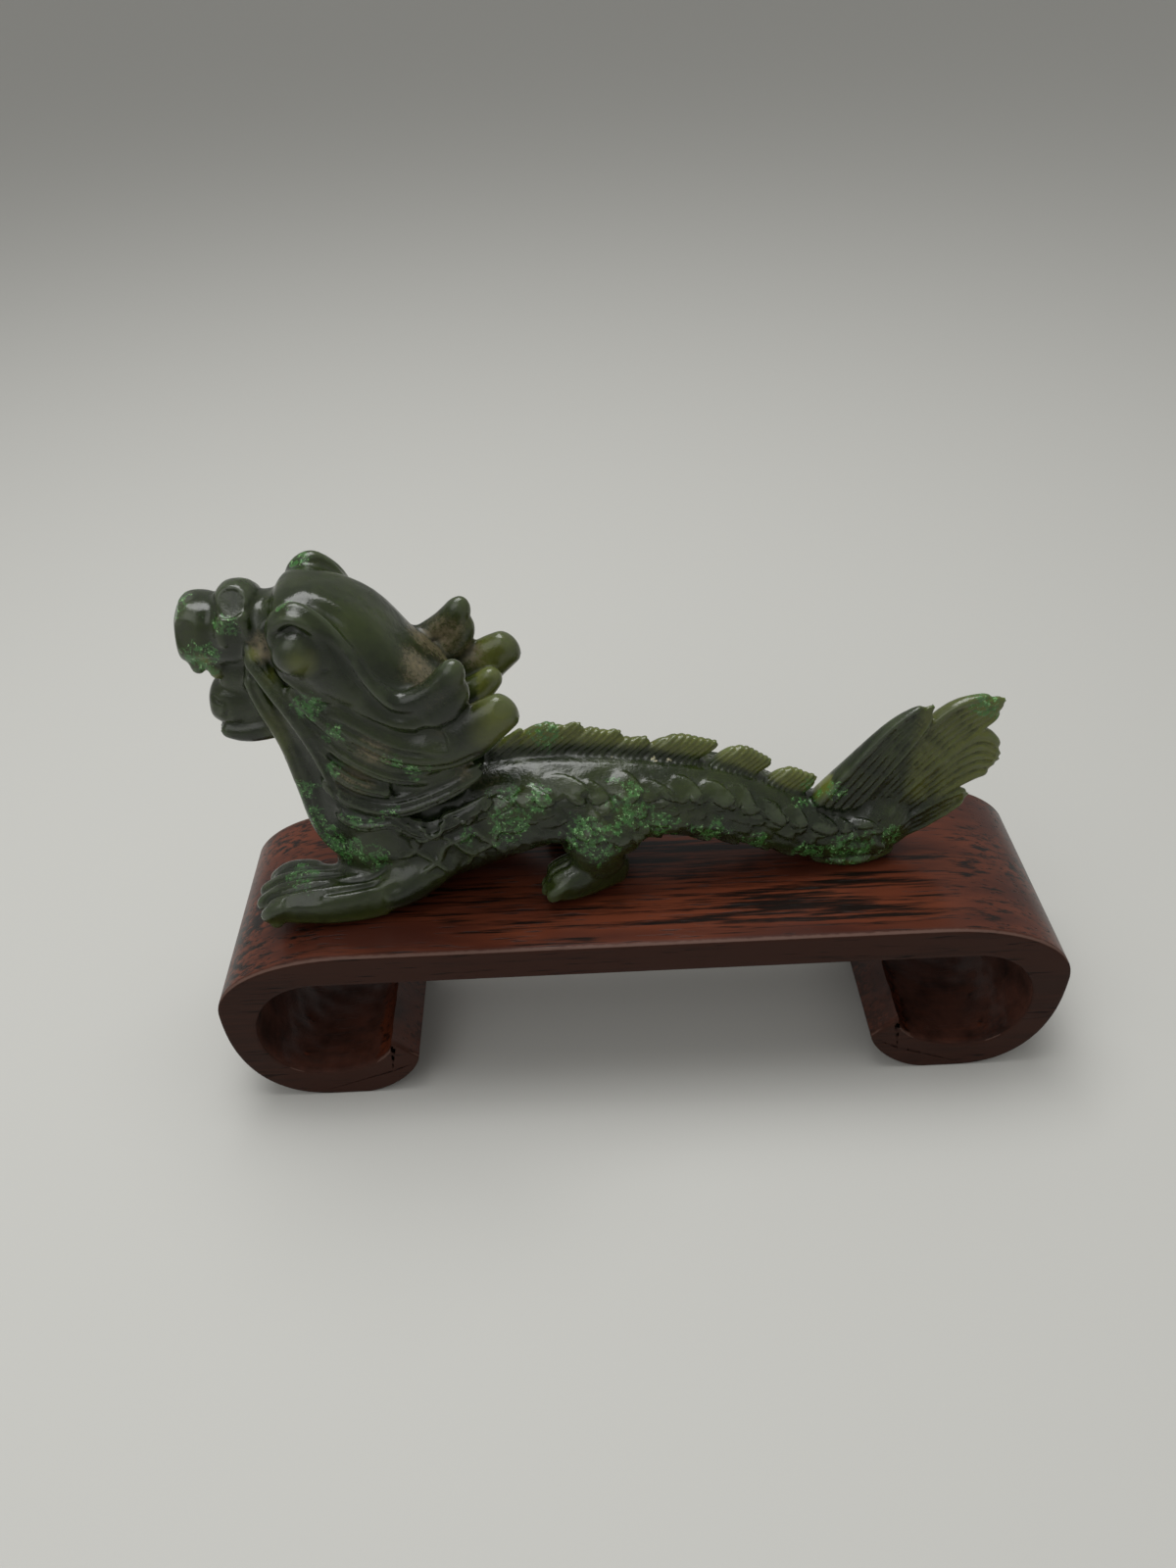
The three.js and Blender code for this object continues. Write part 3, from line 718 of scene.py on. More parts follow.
@dataclass
class Trunk:
    """The body from the chest to the root of the tail."""

    spine: Spine = run(
        (-53.5, 0, 14, 6.5, 8.5), (-46, 0, 12.5, 10, 12), (-36, 0, 12.4, 10.2, 11.4),
        (-27, 0, 14.4, 9.8, 10.2), (-17, 0, 16.6, 9.2, 9.0), (-6, 0, 16.6, 8.8, 8.4), (6, 0, 15.6, 7.6, 7.4),
        (16, 0, 13.2, 6.9, 7.0), (26, 0, 8.8, 6.1, 6.1), (35, 0, 6.1, 5.5, 5.5), (43, 0, 7.2, 4.8, 6.4),
        (49, 0, 11.0, 2.6, 4.4),
    )
    neck: Spine = run(
        (-44, 0, 9, 8.5, 10.6), (-45.2, 0, 18, 9.4, 12.2), (-45.6, 0, 28, 9.0, 12.2),
        (-48.8, 0, 38, 8.4, 11.4), (-50.5, 0, 48, 7.6, 9.0),
    )
    scale_rows: Sequence[Place] = (
        (-17.0, 33.0, 53), (-22.0, 42.0, 64), (-24.4, 42.0, 76),
        (-22.0, 42.0, 88), (-24.4, 42.0, 100), (-22.0, 42.0, 112),
    )
    scale_pitch: float = 4.8
    scale_size: Place = (3.4, 2.1, 0.95)
    scale_sizes: Range = (0.8, 1.2)
    scale_stray: Range = (0.6, 6.0)
    scale_droop: Range = (8, 38)
    front_end: Range = (-30, -22)
    rear_end: Range = (46, 40)
    skin_reach: float = 1.35
    flat_middle: float = 40.0
    flat_half: float = 20.0
    flat_depth: float = 5.2
    flat_wave: float = 1.3
    flake_pitch: float = 4.3
    flake_length: float = 9
    flake_depth: float = 0.55
    lowest_flake: float = 112
    net_pitch: float = 4.6
    net_starts: Range = (-12.3, -36.9)
    net_middle: Range = (-32.0, 14.6)
    net_half: Range = (8.5, 5.6)
    net_depth: float = 0.6
    net_rise: float = 0.3
    net_line: Range = (0.15, 0.9)
    net_side: Range = (5.5, 7.5)
    net_top: Range = (24, 4)
    curve_samples: int = 200

    def build(self, clay: Clay) -> None:
        """Adds the trunk and the neck."""
        clay.sweep(self.spine, around=40, rings=70, cap=0.05, square=2.2, sides=Side.NEAR)
        clay.sweep(self.neck, around=40, rings=30, cap=0.2, sides=Side.NEAR)

    def wrap(self, co: np.ndarray) -> tuple[np.ndarray, np.ndarray, np.ndarray]:
        """Places on the trunk's skin.

        Args:
            co: Points in millimetres.

        Returns:
            Each point's x, its angle down from the ridge in degrees, and its distance from
            the trunk's middle line as a share of the trunk's own half size.
        """
        curve = self.spine.samples(self.curve_samples)
        middle = np.interp(co[:, 0], curve[:, 0], curve[:, 2])
        wide = np.interp(co[:, 0], curve[:, 0], curve[:, 3])
        deep = np.interp(co[:, 0], curve[:, 0], curve[:, 4])
        out = np.abs(co[:, 1]) / wide
        up = (co[:, 2] - middle) / deep
        return co[:, 0], np.degrees(np.arctan2(out, up)), np.hypot(out, up)

    def skin(self, x: float, angle: float) -> tuple[np.ndarray, np.ndarray, np.ndarray]:
        """A place on the near flank.

        Args:
            x: The distance along the dragon, in millimetres.
            angle: Degrees down from the ridge.

        Returns:
            The point, the direction towards the tail and the outward normal.
        """
        curve = self.spine.samples(self.curve_samples)
        along = np.array([np.interp(x, curve[:, 0], np.linspace(0, 1, self.curve_samples))])
        spot = self.spine.at(along)[0]
        rear = self.spine.tangents(along)[0]
        rise = np.array((-rear[2], 0, rear[0]))
        turn = math.radians(angle)
        place = spot[:3] + rise * math.cos(turn) * spot[4] - np.array((0, math.sin(turn) * spot[3], 0))
        normal = unit(rise * math.cos(turn) / spot[4] - np.array((0, math.sin(turn) / spot[3], 0)))
        return place, rear, normal

    def carve(self, carving: Carving) -> None:
        """Cuts the flat along the back, the flakes under it, the scales and the shoulder's net."""
        self._flats(carving)
        self._scales(carving)
        self._net(carving)

    def _flats(self, carving: Carving) -> None:
        """Cuts the flat along the back and the toothed flakes under its edge."""
        x, angle, share = self.wrap(carving.co)
        body = ramp(self.skin_reach - share, 0, 0.2) * ramp(x, *self.front_end) * ramp(x, *self.rear_end)
        turn = np.radians(angle - self.flat_middle)
        half = math.radians(self.flat_half)
        chord = 1 - math.cos(half) / np.cos(np.clip(turn, -half, half))
        carving.cut(body * np.maximum(chord, 0) * (self.flat_depth + self.flat_wave * np.sin(x * 0.85)))
        tooth = np.abs(np.sin(np.pi * x / self.flake_pitch + 0.6 * np.sin(x * 0.7)))
        edge = self.flat_middle + self.flat_half + self.flake_length * tooth - 4
        below = ramp(angle - edge, -1.5, 1.5)
        carving.cut(body * self.flake_depth * below * ramp(self.lowest_flake - angle, 0, 30))

    def _scales(self, carving: Carving) -> None:
        """Raises the rows of overlapping scales along both flanks."""
        lift = np.zeros(len(carving.co))
        rng = np.random.default_rng(SCALE_SEED)
        stray, sway = self.scale_stray
        for start, stop, down in self.scale_rows:
            for step in range(int((stop - start) / self.scale_pitch) + 1):
                along = start + step * self.scale_pitch + rng.uniform(-stray, stray)
                middle, rear, normal = self.skin(along, down + rng.uniform(-sway, sway))
                droop = math.radians(rng.uniform(*self.scale_droop))
                rear = rear * math.cos(droop) + np.cross(rear, normal) * math.sin(droop)
                size = np.array(self.scale_size) * rng.uniform(*self.scale_sizes, 3)
                carving.scale(lift, (middle, rear, normal), size)
        carving.cut(-lift)

    def _net(self, carving: Carving) -> None:
        """Cuts the shoulder's diamond net: raised lines round sunk cells."""
        x, y, z = carving.co.T
        slant = math.sqrt(0.5)
        warp = 0.45 * np.sin(0.42 * x + 0.9 * z) + 0.3 * np.sin(0.8 * x - 0.5 * z)
        lines = []
        for across, start in zip(((x + z) * slant + warp, (x - z) * slant - warp), self.net_starts):
            turns = (across - start) / self.net_pitch
            lines.append(np.abs(turns - np.round(turns)) * self.net_pitch)
        sunk = self.net_depth * ramp(np.minimum(*lines), *self.net_line) - self.net_rise
        (middle_x, middle_z), (half_x, half_z) = self.net_middle, self.net_half
        out = np.hypot((x - middle_x) / half_x, (z - middle_z) / half_z)
        top, fade = self.net_top
        patch = ramp(1.25 - out, 0, 0.35) * ramp(np.abs(y), *self.net_side) * ramp(top - z, 0, fade)
        carving.cut(patch * sunk)


@dataclass
class Head:
    """The skull, snout, jaws, eyes and brows."""

    skull: Spine = run(
        (-55.2, 0, 52.0, 7.4, 6.0), (-51, 0, 52.6, 8.6, 7.6), (-45.4, 0, 50.0, 9.0, 7.2),
        (-39.5, 0, 43.8, 9.0, 6.0), (-34, 0, 38.6, 8.4, 5.4), (-28, 0, 38.0, 6.0, 4.0),
    )
    snout: Spine = run(
        (-52, 0, 52.2, 6.2, 5.4), (-58, 0, 52.4, 5.2, 5.2), (-63, 0, 52.2, 5.0, 5.2),
        (-68.2, 0, 52.6, 4.8, 5.6), (-71.2, 0, 53.0, 3.6, 4.6),
    )
    jaw: Spine = run(
        (-56, 0, 40, 4.0, 5.2), (-62, 0, 39.4, 4.0, 4.4), (-66, 0, 39.4, 4.2, 4.2),
        (-69.0, 0, 39.8, 2.8, 2.8),
    )
    mouth: Spine = run((-56, 0, 44.5, 4.4, 5.4), (-61, 0, 44.6, 4.0, 5.0), (-66.2, 0, 44.6, 3.2, 4.2))
    near_brow: Spine = run(
        (-55.0, -7.8, 53.6, 1.2, 1.2), (-53.6, -7.9, 57.4, 1.3, 1.4), (-50.6, -7.9, 59.2, 1.4, 1.5),
        (-47.4, -8.5, 57.4, 1.4, 1.5), (-44.2, -9.2, 52.6, 1.4, 1.6), (-41.4, -9.8, 47.2, 1.5, 1.7),
        (-37.4, -10.1, 43.6, 1.7, 1.9), (-33.0, -9.8, 44.4, 2.0, 2.2), (-29.4, -9.6, 46.8, 2.1, 2.5),
        (-27.4, -9.5, 50.4, 1.5, 1.8),
    )
    far_brow: Spine = run(
        (-54.8, -7.4, 53.6, 1.2, 1.2), (-53.0, -7.2, 57.8, 1.4, 1.5), (-50.2, -7.0, 59.6, 1.6, 1.6),
        (-47.6, -7.2, 57.8, 1.4, 1.4), (-45.4, -7.4, 53.6, 1.2, 1.2), (-42.0, -8.0, 49.8, 1.3, 1.3),
        (-39.0, -8.6, 46.2, 1.5, 1.6), (-36.0, -9.2, 43.6, 1.7, 1.9), (-32.6, -9.6, 44.6, 2.0, 2.2),
        (-29.4, -9.6, 46.8, 2.1, 2.5), (-27.4, -9.5, 50.4, 1.5, 1.8),
    )
    lids: Sequence[Spine] = (
        run(
            (-55.0, -8.4, 52.4, 0.8, 0.8), (-53.8, -8.9, 56.8, 1.0, 0.9), (-50.8, -9.5, 58.8, 1.1, 1.0),
            (-47.2, -9.7, 56.4, 1.1, 1.0), (-45.0, -9.8, 51.6, 1.0, 0.9), (-44.0, -9.4, 46.6, 0.7, 0.6),
        ),
        run(
            (-55.0, -8.2, 52.6, 0.8, 0.8), (-53.6, -8.6, 48.4, 1.0, 0.9), (-50.0, -9.0, 45.2, 1.0, 0.9),
            (-45.4, -9.0, 43.4, 0.8, 0.7),
        ),
    )
    eye_block: Spine = run(
        (-54.6, -6.2, 54.0, 2.6, 3.0), (-51.6, -7.2, 53.2, 3.0, 5.6), (-48.2, -7.8, 50.6, 3.0, 5.6),
        (-43.8, -8.2, 45.6, 2.8, 3.6), (-40.4, -8.4, 41.8, 2.4, 2.6),
    )
    bridge: Spine = run(
        (-66.5, 0, 52.8, 4.2, 3.8), (-60.5, 0, 52.6, 5.0, 4.8), (-55, 0, 51.8, 6.8, 5.6),
        (-50, 0, 51.8, 7.0, 5.4),
    )
    nostril: Spine = run(
        (-63.0, -4.8, 51.4, 0.9, 0.9), (-62.8, -4.6, 54.8, 1.2, 1.2), (-61.0, -4.2, 57.0, 1.3, 1.3),
        (-59.2, -4.6, 55.6, 1.2, 1.2), (-58.6, -5.0, 52.0, 0.9, 0.9),
    )
    lines: Sequence[tuple[Spine, float, float]] = (
        (line((-65.2, -5.0, 50.0), (-65.2, -4.8, 54.0), (-64.8, -2.6, 57.4)), 0.9, 0.35),
        (line((-58.0, -5.6, 50.4), (-57.8, -5.6, 54.2), (-57.6, -3.2, 57.6)), 0.8, 0.3),
        (line((-55.6, -7.4, 47.0), (-56.2, -6.6, 52.0), (-55.6, -5.6, 57.0)), 0.6, 0.5),
        (line((-54.2, -10.2, 52.8), (-52.6, -10.6, 49.2), (-49.4, -10.6, 47.4)), 0.4, 0.4),
        (line((-52.6, -11.2, 57.0), (-49.4, -11.6, 56.0), (-47.4, -11.4, 52.4)), 0.5, 0.16),
        (line((-49.0, -11.0, 48.8), (-47.4, -10.8, 50.4), (-46.0, -10.4, 50.2)), 0.3, 0.2),
        (
            line(
                (-47.6, -10.8, 57.4), (-44.8, -11.0, 53.0), (-42.4, -11.4, 47.4), (-38.8, -11.4, 42.2),
                (-34.0, -11.6, 41.0),
            ),
            1.0,
            0.75,
        ),
        (
            line(
                (-51.0, -5.8, 60.4), (-46.8, -6.2, 59.0), (-42.6, -6.8, 53.6), (-38.8, -7.2, 47.6),
                (-35.0, -7.0, 43.8),
            ),
            1.3,
            0.85,
        ),
        (line((-68.6, -2.6, 42.0), (-66.0, -4.4, 41.0), (-62.0, -4.6, 41.8)), 0.45, 0.5),
        (line((-66.4, -3.8, 37.4), (-65.4, -4.4, 40.0), (-65.8, -4.0, 43.4)), 0.4, 0.4),
        (line((-63.2, -4.2, 36.8), (-62.4, -4.6, 39.6), (-62.8, -4.4, 43.0)), 0.4, 0.4),
        (line((-68.8, -4.4, 48.6), (-66.6, -4.9, 49.2), (-64.0, -5.0, 48.6)), 0.5, 0.4),
    )
    facets: Sequence[tuple[Place, Place, float]] = (
        ((-68.2, -4.4, 53.4), (-0.34, -0.93, 0.14), 3.0),
        ((-69.2, 0, 57.7), (-0.2, 0, 0.98), 4.6),
        ((-61.2, -3.2, 58.0), (-0.05, -0.62, 0.78), 2.8),
        ((-70.6, -1.5, 55.4), (-0.8, -0.25, 0.54), 2.6),
    )
    eye: tuple[Place, Place, float] = ((-51.4, -9.2, 52.9), (3.5, 3.0, 3.9), 25)
    nose_bulb: tuple[Place, Place] = ((-60.8, 0, 57.0), (3.6, 4.4, 3.3))
    teeth: Sequence[tuple[Place, Place, float]] = (
        ((-68.4, -2.8, 47.8), (1.4, 1.3, 2.0), 10),
        ((-65.8, -3.2, 46.8), (1.2, 1.2, 1.8), 0),
    )
    beard_strands: int = 6
    beard_reach: float = 3.6

    def build(self, clay: Clay) -> None:
        """Adds the head's forms."""
        clay.sweep(self.skull, around=40, rings=36, cap=0.14, square=3.0, sides=Side.NEAR)
        clay.sweep(self.snout, around=36, rings=30, cap=0.1, square=2.8, sides=Side.NEAR)
        clay.sweep(self.jaw, around=30, rings=24, square=2.4, sides=Side.NEAR)
        clay.sweep(self.near_brow, around=14, rings=60, cap=0.06, sides=Side.NEAR)
        clay.sweep(self.far_brow, around=14, rings=60, cap=0.06, sides=Side.FAR)
        clay.sweep(self.mouth, around=24, rings=20, sides=Side.NEAR)
        clay.sweep(self.eye_block, around=24, rings=24, cap=0.3)
        clay.bead(*self.eye)
        for lid in self.lids:
            clay.sweep(lid, around=12, rings=36, cap=0.1)
        clay.sweep(self.bridge, around=30, rings=24, cap=0.2, square=2.5, sides=Side.NEAR)
        clay.sweep(self.nostril, around=14, rings=36, cap=0.1)
        clay.bead(*self.nose_bulb, sides=Side.NEAR)
        for tooth in self.teeth:
            clay.bead(*tooth)
        self._beard(clay)

    def carve(self, carving: Carving) -> None:
        """Grinds the snout's flats and cuts the lines round the nostril, the eye and the cheek."""
        for facet in self.facets:
            carving.facet(*facet)
        for cut in self.lines:
            carving.groove(*cut)

    def _beard(self, clay: Clay) -> None:
        """Adds the striated beard under the chin."""
        for strand in range(self.beard_strands):
            y = mix(-self.beard_reach, self.beard_reach, strand / (self.beard_strands - 1))
            lift = 0.9 * abs(y) / self.beard_reach
            hair = run(
                (-56.5, y, 34.8 + lift, 0.9, 1.9), (-63.0, y, 33.6 + lift, 1.0, 1.7),
                (-68.6 + lift, y * 0.9, 34.2 + lift, 0.8, 1.2),
            )
            clay.sweep(hair, around=10, rings=18, cap=0.14, sides=Side.NEAR)


@dataclass
class Mane:
    """The curled locks behind the head and the strands that sweep down the neck."""

    locks: Sequence[Spine] = (
        run(
            (-45, -7.6, 46, 2.4, 3.6), (-40, -8.6, 42.0, 2.6, 3.4), (-34.5, -9.2, 40.4, 2.6, 2.8),
            (-30.0, -9.5, 42.4, 2.6, 3.0), (-27.2, -9.4, 47.4, 1.8, 2.2),
        ),
        run(
            (-49, -7.6, 43, 2.2, 3.0), (-43, -8.6, 37.4, 2.6, 3.6), (-35.4, -9.2, 33.8, 2.8, 4.0),
            (-28.4, -9.5, 35.6, 2.8, 4.4), (-23.4, -9.4, 39.2, 2.6, 3.8), (-19.4, -9.2, 41.8, 2.0, 2.8),
        ),
        run((-34, -4.6, 33, 2.4, 3.0), (-27, -4.8, 35.0, 2.4, 2.8), (-22.4, -4.8, 39.0, 1.5, 1.8)),
    )
    lock_caps: Sequence[float] = (0.14, 0.07, 0.14)
    partings: Sequence[Spine] = (
        line((-50, -10.4, 42.5), (-44, -11.0, 38.4), (-38, -11.8, 35.2), (-31, -12.0, 34.0)),
        line((-48, -10.4, 45.0), (-42, -11.0, 40.6), (-36.4, -11.6, 38.4), (-31.4, -11.8, 39.0)),
        line((-46, -10.8, 36.4), (-39, -11.8, 32.6), (-31, -12.0, 31.8), (-25.4, -12.0, 34.4)),
        line((-58.0, -6.8, 44.0), (-54.8, -8.6, 38.0), (-53.0, -9.4, 30.0), (-52.2, -9.0, 20.0)),
    )
    strands: Sequence[Spine] = (
        run(
            (-59.8, -5.6, 51.0, 1.2, 1.5), (-56.4, -7.2, 45.6, 1.5, 1.7), (-52.8, -8.2, 38.8, 1.7, 1.8),
            (-50.6, -8.8, 32.4, 1.5, 1.6), (-49.4, -9.0, 25.0, 1.0, 1.1),
        ),
        run(
            (-60.6, -4.4, 46.5, 1.3, 1.5), (-59.0, -4.6, 40.4, 1.6, 1.8), (-56.4, -5.4, 34.0, 1.7, 1.9),
            (-55.0, -6.2, 26.0, 1.7, 1.8), (-53.8, -6.4, 16.5, 1.5, 1.6), (-50.8, -6.6, 9.5, 1.0, 1.1),
        ),
        run(
            (-53.6, -8.0, 46.5, 1.3, 1.5), (-49.2, -8.8, 40.4, 1.6, 1.8), (-42.6, -9.2, 33.8, 1.6, 1.7),
            (-35.6, -9.4, 30.6, 1.4, 1.5), (-31.2, -9.0, 31.0, 0.9, 1.0),
        ),
        run(
            (-51.6, -8.4, 39.5, 1.3, 1.5), (-46.6, -9.0, 33.6, 1.6, 1.7), (-40.4, -9.4, 29.4, 1.5, 1.6),
            (-33.6, -9.4, 27.6, 0.9, 1.0),
        ),
        run((-51.4, -8.8, 33.6, 1.3, 1.4), (-46.4, -9.3, 28.2, 1.6, 1.6), (-40.6, -9.6, 25.4, 1.1, 1.1)),
        run(
            (-51.6, -8.6, 28.4, 1.4, 1.5), (-46.4, -9.4, 23.8, 1.7, 1.7), (-39.8, -9.8, 22.4, 1.6, 1.6),
            (-31.6, -9.4, 25.0, 1.3, 1.3), (-25.4, -8.0, 28.0, 0.8, 0.9),
        ),
        run(
            (-50.4, -8.8, 21.2, 1.2, 1.2), (-46.0, -9.6, 19.4, 1.5, 1.5), (-41.0, -10.0, 19.8, 1.4, 1.4),
            (-36.6, -10.0, 17.0, 1.5, 1.5), (-30.4, -9.6, 18.8, 1.3, 1.3), (-24.4, -8.6, 22.2, 0.9, 0.9),
        ),
    )
    twin: Place = (0.3, 1.5, 0.62)
    shoulder: tuple[Place, Place, float] = ((-34.5, -6.8, 26.6), (8.0, 2.8, 5.6), -8)
    facets: Sequence[tuple[Place, Place, float]] = (
        ((-21.2, -11.2, 41.4), (0.25, -0.85, 0.45), 2.2),
        ((-33.0, -11.6, 36.2), (0.0, -0.86, 0.5), 3.4),
    )
    parting_cut: Range = (0.5, 0.5)
    hairs: Sequence[Range] = ((-1.2, 0.8), (-1.25, -0.5), (-0.5, 2.0))
    hair_cut: Range = (0.34, 0.45)

    def build(self, clay: Clay) -> None:
        """Adds the locks and the strands."""
        for lock, cap in zip(self.locks, self.lock_caps):
            clay.sweep(lock, around=24, rings=36, cap=cap)
        clay.bead(*self.shoulder)
        for strand in self.strands:
            clay.sweep(strand, around=14, rings=44, cap=0.08)
            clay.sweep(strand.shifted(*self.twin), around=12, rings=44, cap=0.08)

    def carve(self, carving: Carving) -> None:
        """Cuts the lines that part the locks and the strands, and grinds the locks' ends."""
        for facet in self.facets:
            carving.facet(*facet)
        for parting in self.partings:
            carving.groove(parting, *self.parting_cut)
        for strand in self.strands:
            for y, z in self.hairs:
                carving.groove(strand.shifted(y, z, 1.0), *self.hair_cut)


@dataclass(frozen=True)
class Toes:
    """Toes side by side, each ending in a claw bent down to the stand."""

    root: Place
    tip: Place
    spread: float
    radius: float
    count: int = 4

    def build(self, clay: Clay, stride: float, sides: Side) -> None:
        """Adds the toes.

        Args:
            clay: What they are added to.
            stride: How far they are moved along x, in millimetres.
            sides: Which sides of the middle plane they are made on.
        """
        root = (self.root[0] + stride, *self.root[1:])
        tip = (self.tip[0] + stride, *self.tip[1:])
        spread, radius = self.spread, self.radius
        for toe in range(self.count):
            offset = mix(-0.5, 0.5, toe / (self.count - 1))
            reach = 1 - 0.5 * offset * offset
            knuckle = mix(root[0], tip[0], 0.6 * reach), mix(root[1], tip[1], 0.6) + offset * spread
            claw = mix(root[0], tip[0], reach), tip[1] + offset * spread * 1.05
            toe_run = run(
                (root[0], root[1] + offset * spread * 0.7, root[2], radius * 0.8, radius),
                (*knuckle, mix(root[2], tip[2], 0.3), radius, radius),
                (*claw, tip[2], radius * 0.62, radius * 0.9),
            )
            clay.sweep(toe_run, around=14, rings=20, cap=0.2, sides=sides)


@dataclass
class Legs:
    """The four legs, with their toes."""

    upper_arm: Spine = run(
        (-28.0, -5.4, 12.0, 3.4, 3.2), (-34.5, -7.4, 8.8, 4.0, 3.6), (-40.5, -9.2, 5.6, 4.2, 4.0),
        (-46.0, -10.0, 4.4, 4.0, 4.2),
    )
    forearm: Spine = run(
        (-42.4, -9.4, 3.6, 3.0, 3.6), (-47.0, -9.8, 3.8, 4.2, 4.2), (-53.0, -9.9, 3.8, 5.1, 4.2),
        (-58.5, -9.2, 3.6, 5.6, 3.8), (-65.4, -8.8, 2.6, 4.8, 2.8),
    )
    far_stride: float = 12.0
    thigh: Spine = run(
        (1.6, -4.0, 18.5, 3.4, 5.2), (-4.6, -6.6, 14.6, 4.0, 6.8), (-7.2, -7.8, 9.6, 3.6, 5.6),
        (-4.4, -7.4, 5.0, 2.9, 3.4),
    )
    hind_foot: Spine = run(
        (-1.8, -4.8, 3.8, 2.4, 3.4), (-6.6, -6.4, 4.0, 3.4, 3.9), (-11.6, -7.9, 3.7, 4.2, 3.8),
        (-16.2, -9.1, 2.8, 3.4, 2.8),
    )
    paw_lines: Sequence[Spine] = (
        line((-55.0, -13.6, 6.6), (-49.0, -12.8, 6.8), (-44.0, -11.4, 8.2)),
        line((-52.0, -11.4, 8.2), (-47.0, -11.0, 8.6), (-42.0, -9.8, 10.2)),
        line((-49.0, -13.8, 4.6), (-45.0, -13.2, 5.0), (-41.0, -12.6, 6.8)),
        line((-66.4, -6.2, 3.6), (-61.0, -6.0, 7.4), (-53.0, -7.6, 8.2)),
        line((-66.6, -8.6, 3.8), (-61.0, -8.8, 7.6), (-51.0, -9.4, 8.2)),
        line((-66.2, -11.2, 3.6), (-61.0, -11.8, 7.2), (-53.0, -11.4, 7.8)),
    )
    foot_lines: Sequence[Spine] = (
        line((-17.2, -7.6, 3.6), (-13.0, -5.8, 6.4), (-7.0, -4.6, 7.4)),
        line((-17.4, -8.8, 3.6), (-12.6, -7.2, 7.2), (-6.0, -5.8, 7.6)),
        line((-17.0, -10.2, 3.4), (-12.0, -8.6, 7.0), (-5.0, -7.0, 7.4)),
        line((-15.6, -11.2, 2.8), (-11.0, -9.9, 5.6), (-5.0, -8.2, 6.2)),
    )
    front_toes: Toes = Toes((-55, -8.6, 6.0), (-67.3, -8.6, 1.6), 9.0, 1.7)
    hind_toes: Toes = Toes((-8.4, -7.0, 5.8), (-17.3, -9.4, 1.6), 5.0, 1.5)
    dewclaw: tuple[Place, Place] = ((-63.4, -13.4, 1.2), (1.3, 1.2, 1.3))
    forearm_flat: tuple[Place, Place, float] = ((-58.0, -14.1, 6.0), (-0.1, -0.66, 0.75), 3.8)
    paw_cut: tuple[float, float, Place] = (0.45, 0.6, (1, 1, 0.3))
    foot_cut: tuple[float, float, Place] = (0.4, 0.55, (1, 1, 0.25))

    def build(self, clay: Clay) -> None:
        """Adds the legs and the paws."""
        for side, stride in ((Side.NEAR, 0.0), (Side.FAR, self.far_stride)):
            clay.sweep(self.upper_arm.moved(stride), around=24, rings=24, across=(0, 0, 1), sides=side)
            clay.sweep(self.forearm.moved(stride), around=28, rings=30, square=2.8, sides=side)
            self.front_toes.build(clay, stride, side)
        clay.sweep(self.thigh, around=28, rings=28)
        clay.sweep(self.hind_foot, around=24, rings=24, square=2.3)
        self.hind_toes.build(clay, 0.0, Side.BOTH)
        clay.bead(*self.dewclaw, sides=Side.NEAR)

    def carve(self, carving: Carving) -> None:
        """Cuts the toes' lines and grinds the flat along the forearm's outer edge."""
        carving.facet(*self.forearm_flat)
        for cut in self.paw_lines:
            carving.groove(cut, *self.paw_cut)
        for cut in self.foot_lines:
            carving.groove(cut, *self.foot_cut)


@dataclass
class Fin:
    """A flat fan of side-by-side rays between an upper and a lower edge."""

    upper: Sequence[Range]
    lower: Sequence[Range]
    rays: int
    y: float = 0.0
    root_width: float = 2.9
    tip_width: float = 0.8
    overlap: float = 0.8
    rounded: float = 0.32
    line_width: float = 0.34
    line_depths: Range = (0.5, 0.28)

    def build(self, clay: Clay) -> None:
        """Adds the rays."""
        last = len(self.upper) - 1
        for ray in range(self.rays):
            inset = (ray + 0.5) / self.rays
            stations = []
            for step, ((x, z), (low_x, low_z)) in enumerate(zip(self.upper, self.lower)):
                spacing = math.hypot(low_x - x, low_z - z) / self.rays
                width = mix(self.root_width, self.tip_width, step / last)
                place = mix(x, low_x, inset), self.y, mix(z, low_z, inset)
                stations.append((*place, width, spacing * self.overlap))
            short = self.rounded * (2 * inset - 1) ** 2
            tip, before = np.array(stations[-1]), np.array(stations[-2])
            stations[-1] = tuple(mix(tip, before, short))
            clay.sweep(run(*stations), around=12, rings=24, cap=0.1, sides=Side.NEAR)

    def carve(self, carving: Carving) -> None:
        """Cuts a line between each ray and the next, and a finer one along each ray."""
        for half_ray in range(1, 2 * self.rays):
            inset = half_ray / (2 * self.rays)
            points = [
                (mix(x, low_x, inset), 0, mix(z, low_z, inset))
                for (x, z), (low_x, low_z) in zip(self.upper, self.lower)
            ]
            carving.groove(line(*points), self.line_width, self.line_depths[half_ray % 2], loose=(1, 0.05, 1))


